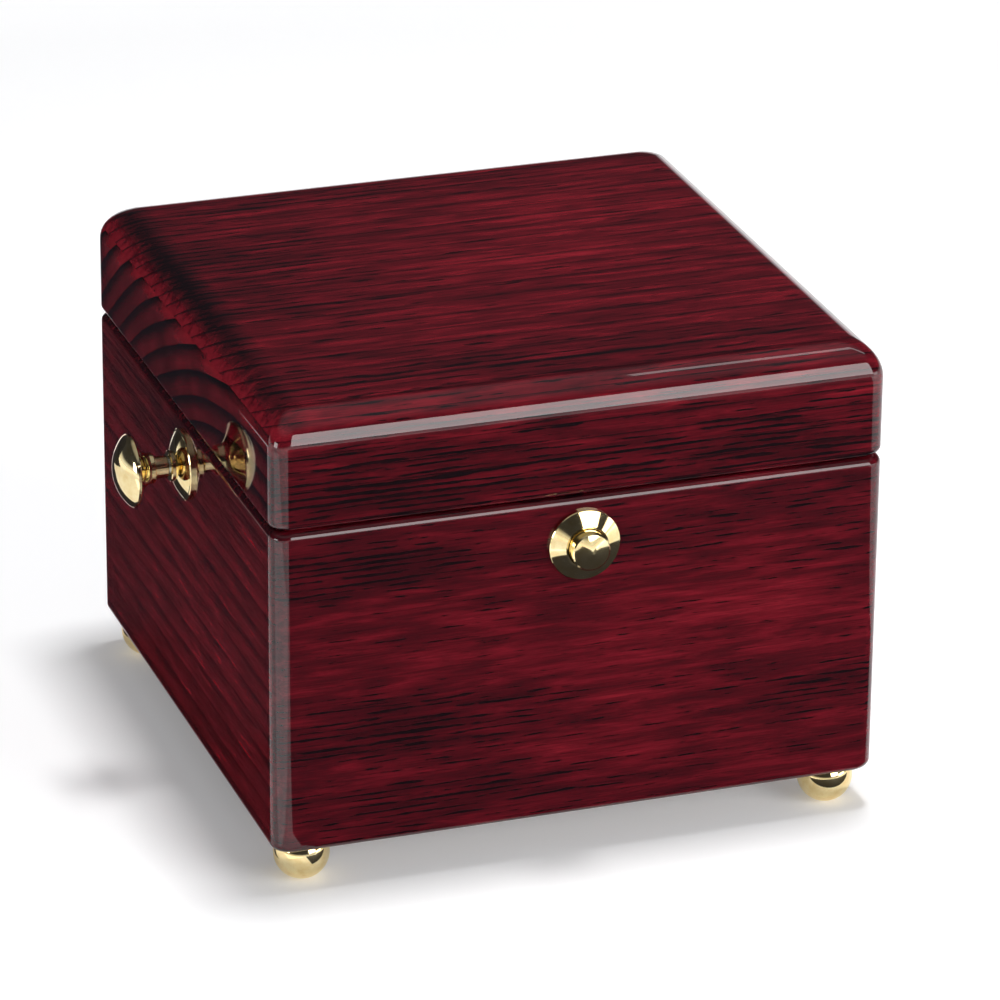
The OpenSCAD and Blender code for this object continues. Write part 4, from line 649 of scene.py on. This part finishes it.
# every turned piece has its sizes in mm; "out" counts from the wall or, for the feet, down from the case
foot = dict(ball=6.3, centre=3.317, tall=9.1, flat=2.5, hole=1.3, headRoom=2.2, steps=20)
footNames = {"footFrontLeft": "foot_front_left", "footFrontRight": "foot_front_right",
             "footBackRight": "foot_back_right", "footBackLeft": "foot_back_left"}
topRadius = math.sqrt(foot["ball"] ** 2 - foot["centre"] ** 2)
topAngle = math.asin(topRadius / foot["ball"])
flatAngle = math.pi - math.asin(foot["flat"] / foot["ball"])
footAngles = [topAngle + (flatAngle - topAngle) * k / foot["steps"] for k in range(1, foot["steps"] + 1)]
footProfile = ([(0.0, foot["hole"]), (0.0, topRadius)]
               + [(foot["centre"] - foot["ball"] * math.cos(a), foot["ball"] * math.sin(a))
                  for a in footAngles]
               + [(foot["tall"], foot["headRoom"]), (foot["tall"] / 2, foot["headRoom"]),
                  (foot["tall"] / 2, foot["hole"])])
for name, node in footNames.items():
    low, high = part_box(node)
    turned(name, ((low.x + high.x) / 2, (low.y + high.y) / 2, caseLow.z), (0, 0, -1), footProfile, "case",
           node, hollow=True)

knob = dict(neck=2.5, neckFrom=4.0, collar=3.5, collarFrom=7.3, flareFrom=8.3, flareSteps=10, rimFrom=11.8,
            rimTo=12.8, rim=8.2, dome=11.59, domeSteps=14, reach=16.2, chamfer=0.2, edge=0.15, gap=0.05,
            rimEdge=0.25, lip=0.1, domeInset=0.35)
flare = [(knob["flareFrom"] + (knob["rimFrom"] - knob["flareFrom"]) * k / knob["flareSteps"],
          knob["collar"] + (knob["rim"] - knob["edge"] - knob["collar"]) * (k / knob["flareSteps"]) ** 2)
         for k in range(knob["flareSteps"] + 1)]
knobProfile = ([(knob["neckFrom"], lathe["point"]), (knob["neckFrom"], knob["neck"] - knob["chamfer"]),
                (knob["neckFrom"] + knob["chamfer"], knob["neck"]), (knob["collarFrom"], knob["neck"]),
                (knob["collarFrom"], knob["collar"] - knob["edge"]),
                (knob["collarFrom"] + knob["edge"], knob["collar"]),
                (knob["flareFrom"] - knob["gap"], knob["collar"])]
               + flare
               + [(knob["rimFrom"] + knob["rimEdge"], knob["rim"]),
                  (knob["rimTo"] - knob["chamfer"], knob["rim"]), (knob["rimTo"], knob["rim"] - knob["lip"])]
               + arc(knob["reach"] - knob["dome"], knob["dome"], knob["rim"] - knob["domeInset"],
                     lathe["point"], knob["domeSteps"]))
turned("windingKnob", (caseLow.x, knobAxis.y, knobAxis.z), (-1, 0, 0), knobProfile, "winder", "winding_knob")

rosette = dict(rim=8.1, thick=0.9, domeFrom=7.5, dome=13.38, domeTop=3.2, domeSteps=8, tube=3.5, tubeOut=3.7,
               tubeIn=-9.49, bore=2.05, chamfer=0.2)
rosetteProfile = ([(rosette["tubeIn"], rosette["bore"]), (rosette["tubeOut"], rosette["bore"]),
                   (rosette["tubeOut"], rosette["tube"] - rosette["chamfer"]),
                   (rosette["tubeOut"] - rosette["chamfer"], rosette["tube"])]
                  + arc(rosette["domeTop"] - rosette["dome"], rosette["dome"], rosette["tube"],
                        rosette["domeFrom"], rosette["domeSteps"])
                  + [(rosette["thick"], rosette["rim"] - rosette["chamfer"]),
                     (rosette["thick"] - rosette["chamfer"], rosette["rim"]), (0.0, rosette["rim"]),
                     (0.0, rosette["tube"]), (rosette["tubeIn"], rosette["tube"])])
turned("knobRosette", (caseLow.x, knobAxis.y, knobAxis.z), (-1, 0, 0), rosetteProfile, "case",
       "winding_rosette", hollow=True)

ring = dict(rim=8.1, thick=0.9, top=2.4, land=4.88, bore=4.38, sleeve=5.5, sleeveIn=-9.99, floor=-7.0,
            stemBore=2.08, edge=0.15, mouth=0.12, gap=0.05)
ringProfile = [(ring["sleeveIn"], ring["stemBore"]), (ring["floor"], ring["stemBore"]),
               (ring["floor"], ring["bore"]), (ring["top"] - ring["edge"], ring["bore"]),
               (ring["top"], ring["bore"] + ring["mouth"]), (ring["top"], ring["land"]),
               (ring["thick"] + ring["gap"], ring["rim"] - ring["edge"]),
               (ring["thick"] - ring["edge"], ring["rim"]), (0.0, ring["rim"]), (0.0, ring["sleeve"]),
               (ring["sleeveIn"], ring["sleeve"])]
turned("catchRing", (buttonAxis.x, caseLow.y, buttonAxis.z), (0, -1, 0), ringProfile, "case", "catch_ring",
       hollow=True)

button = dict(head=4.3, crownEdge=4.0, crown=1.2, chamfer=0.3, headBack=-3.0, stem=2.0)
buttonTip = (caseLow.y - buttonLow.y) / mm
stemEnd = (caseLow.y - buttonHigh.y) / mm
buttonProfile = [(buttonTip, lathe["point"]), (buttonTip - button["crown"], button["crownEdge"]),
                 (buttonTip - button["crown"] - button["chamfer"], button["head"]),
                 (button["headBack"], button["head"]), (button["headBack"], button["stem"]),
                 (stemEnd, button["stem"])]
turned("catchButton", (buttonAxis.x, caseLow.y, buttonAxis.z), (0, -1, 0), buttonProfile, "catch",
       "catch_button")
print("turned brass made")

# velvet lining of the lid: a thin pad glued to the top board and swollen a little by its stuffing
lining = dict(inset=0.6 * mm, thick=1.2 * mm, glueGap=0.01 * mm, cells=56, quality=6, mass=0.2,
              pressure=4.0, frames=20, swell=1.2 * mm)
padLow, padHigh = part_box("lid_lining")
padMiddle = (padLow + padHigh) / 2
bpy.ops.mesh.primitive_grid_add(x_subdivisions=lining["cells"], y_subdivisions=lining["cells"], size=1,
                                location=(padMiddle.x, padMiddle.y, padHigh.z - lining["glueGap"]))
lidLining = bpy.context.object
lidLining.name = "lidLining"
lidLining.scale = (padHigh.x - padLow.x - 2 * lining["inset"], padHigh.y - padLow.y - 2 * lining["inset"], 1)
bpy.ops.object.transform_apply(location=True, rotation=True, scale=True)
glued = lidLining.vertex_groups.new(name="glued")
glued.add(range(len(lidLining.data.vertices)), 1.0, "REPLACE")
bpy.ops.object.mode_set(mode="EDIT")
bpy.ops.mesh.select_all(action="SELECT")
bpy.ops.mesh.extrude_region_move(TRANSFORM_OT_translate={"value": (0, 0, -lining["thick"])})
bpy.ops.object.vertex_group_set_active(group="glued")
bpy.ops.object.vertex_group_remove_from()  # the lower skin hangs free, the upper one is stuck to the board
bpy.ops.mesh.select_all(action="SELECT")
bpy.ops.mesh.normals_make_consistent(inside=False)
bpy.ops.object.mode_set(mode="OBJECT")
before = [v.co.copy() for v in lidLining.data.vertices]
only(lidLining)
cloth = lidLining.modifiers.new("stuffing", "CLOTH")
cloth.settings.quality = lining["quality"]
cloth.settings.mass = lining["mass"]
cloth.settings.use_pressure = True
cloth.settings.uniform_pressure_force = lining["pressure"]
cloth.settings.vertex_group_mass = "glued"
cloth.settings.effector_weights.gravity = 0
for frameNumber in range(1, lining["frames"] + 1):
    bpy.context.scene.frame_set(frameNumber)
bpy.ops.object.modifier_apply(modifier=cloth.name)
bpy.context.scene.frame_set(1)
for vertex, start in zip(lidLining.data.vertices, before):
    moved = vertex.co - start
    if moved.length > lining["swell"]:
        vertex.co = start + moved.normalized() * lining["swell"]
only(lidLining)
fine = lidLining.modifiers.new("fine", "SUBSURF")
fine.levels = fine.render_levels = 1
bpy.ops.object.modifier_apply(modifier=fine.name)
bpy.ops.object.shade_smooth()
lidLining.data.materials.append(velvetPile)
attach(lidLining, "lid")
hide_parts("lid_lining")
print("lining made")
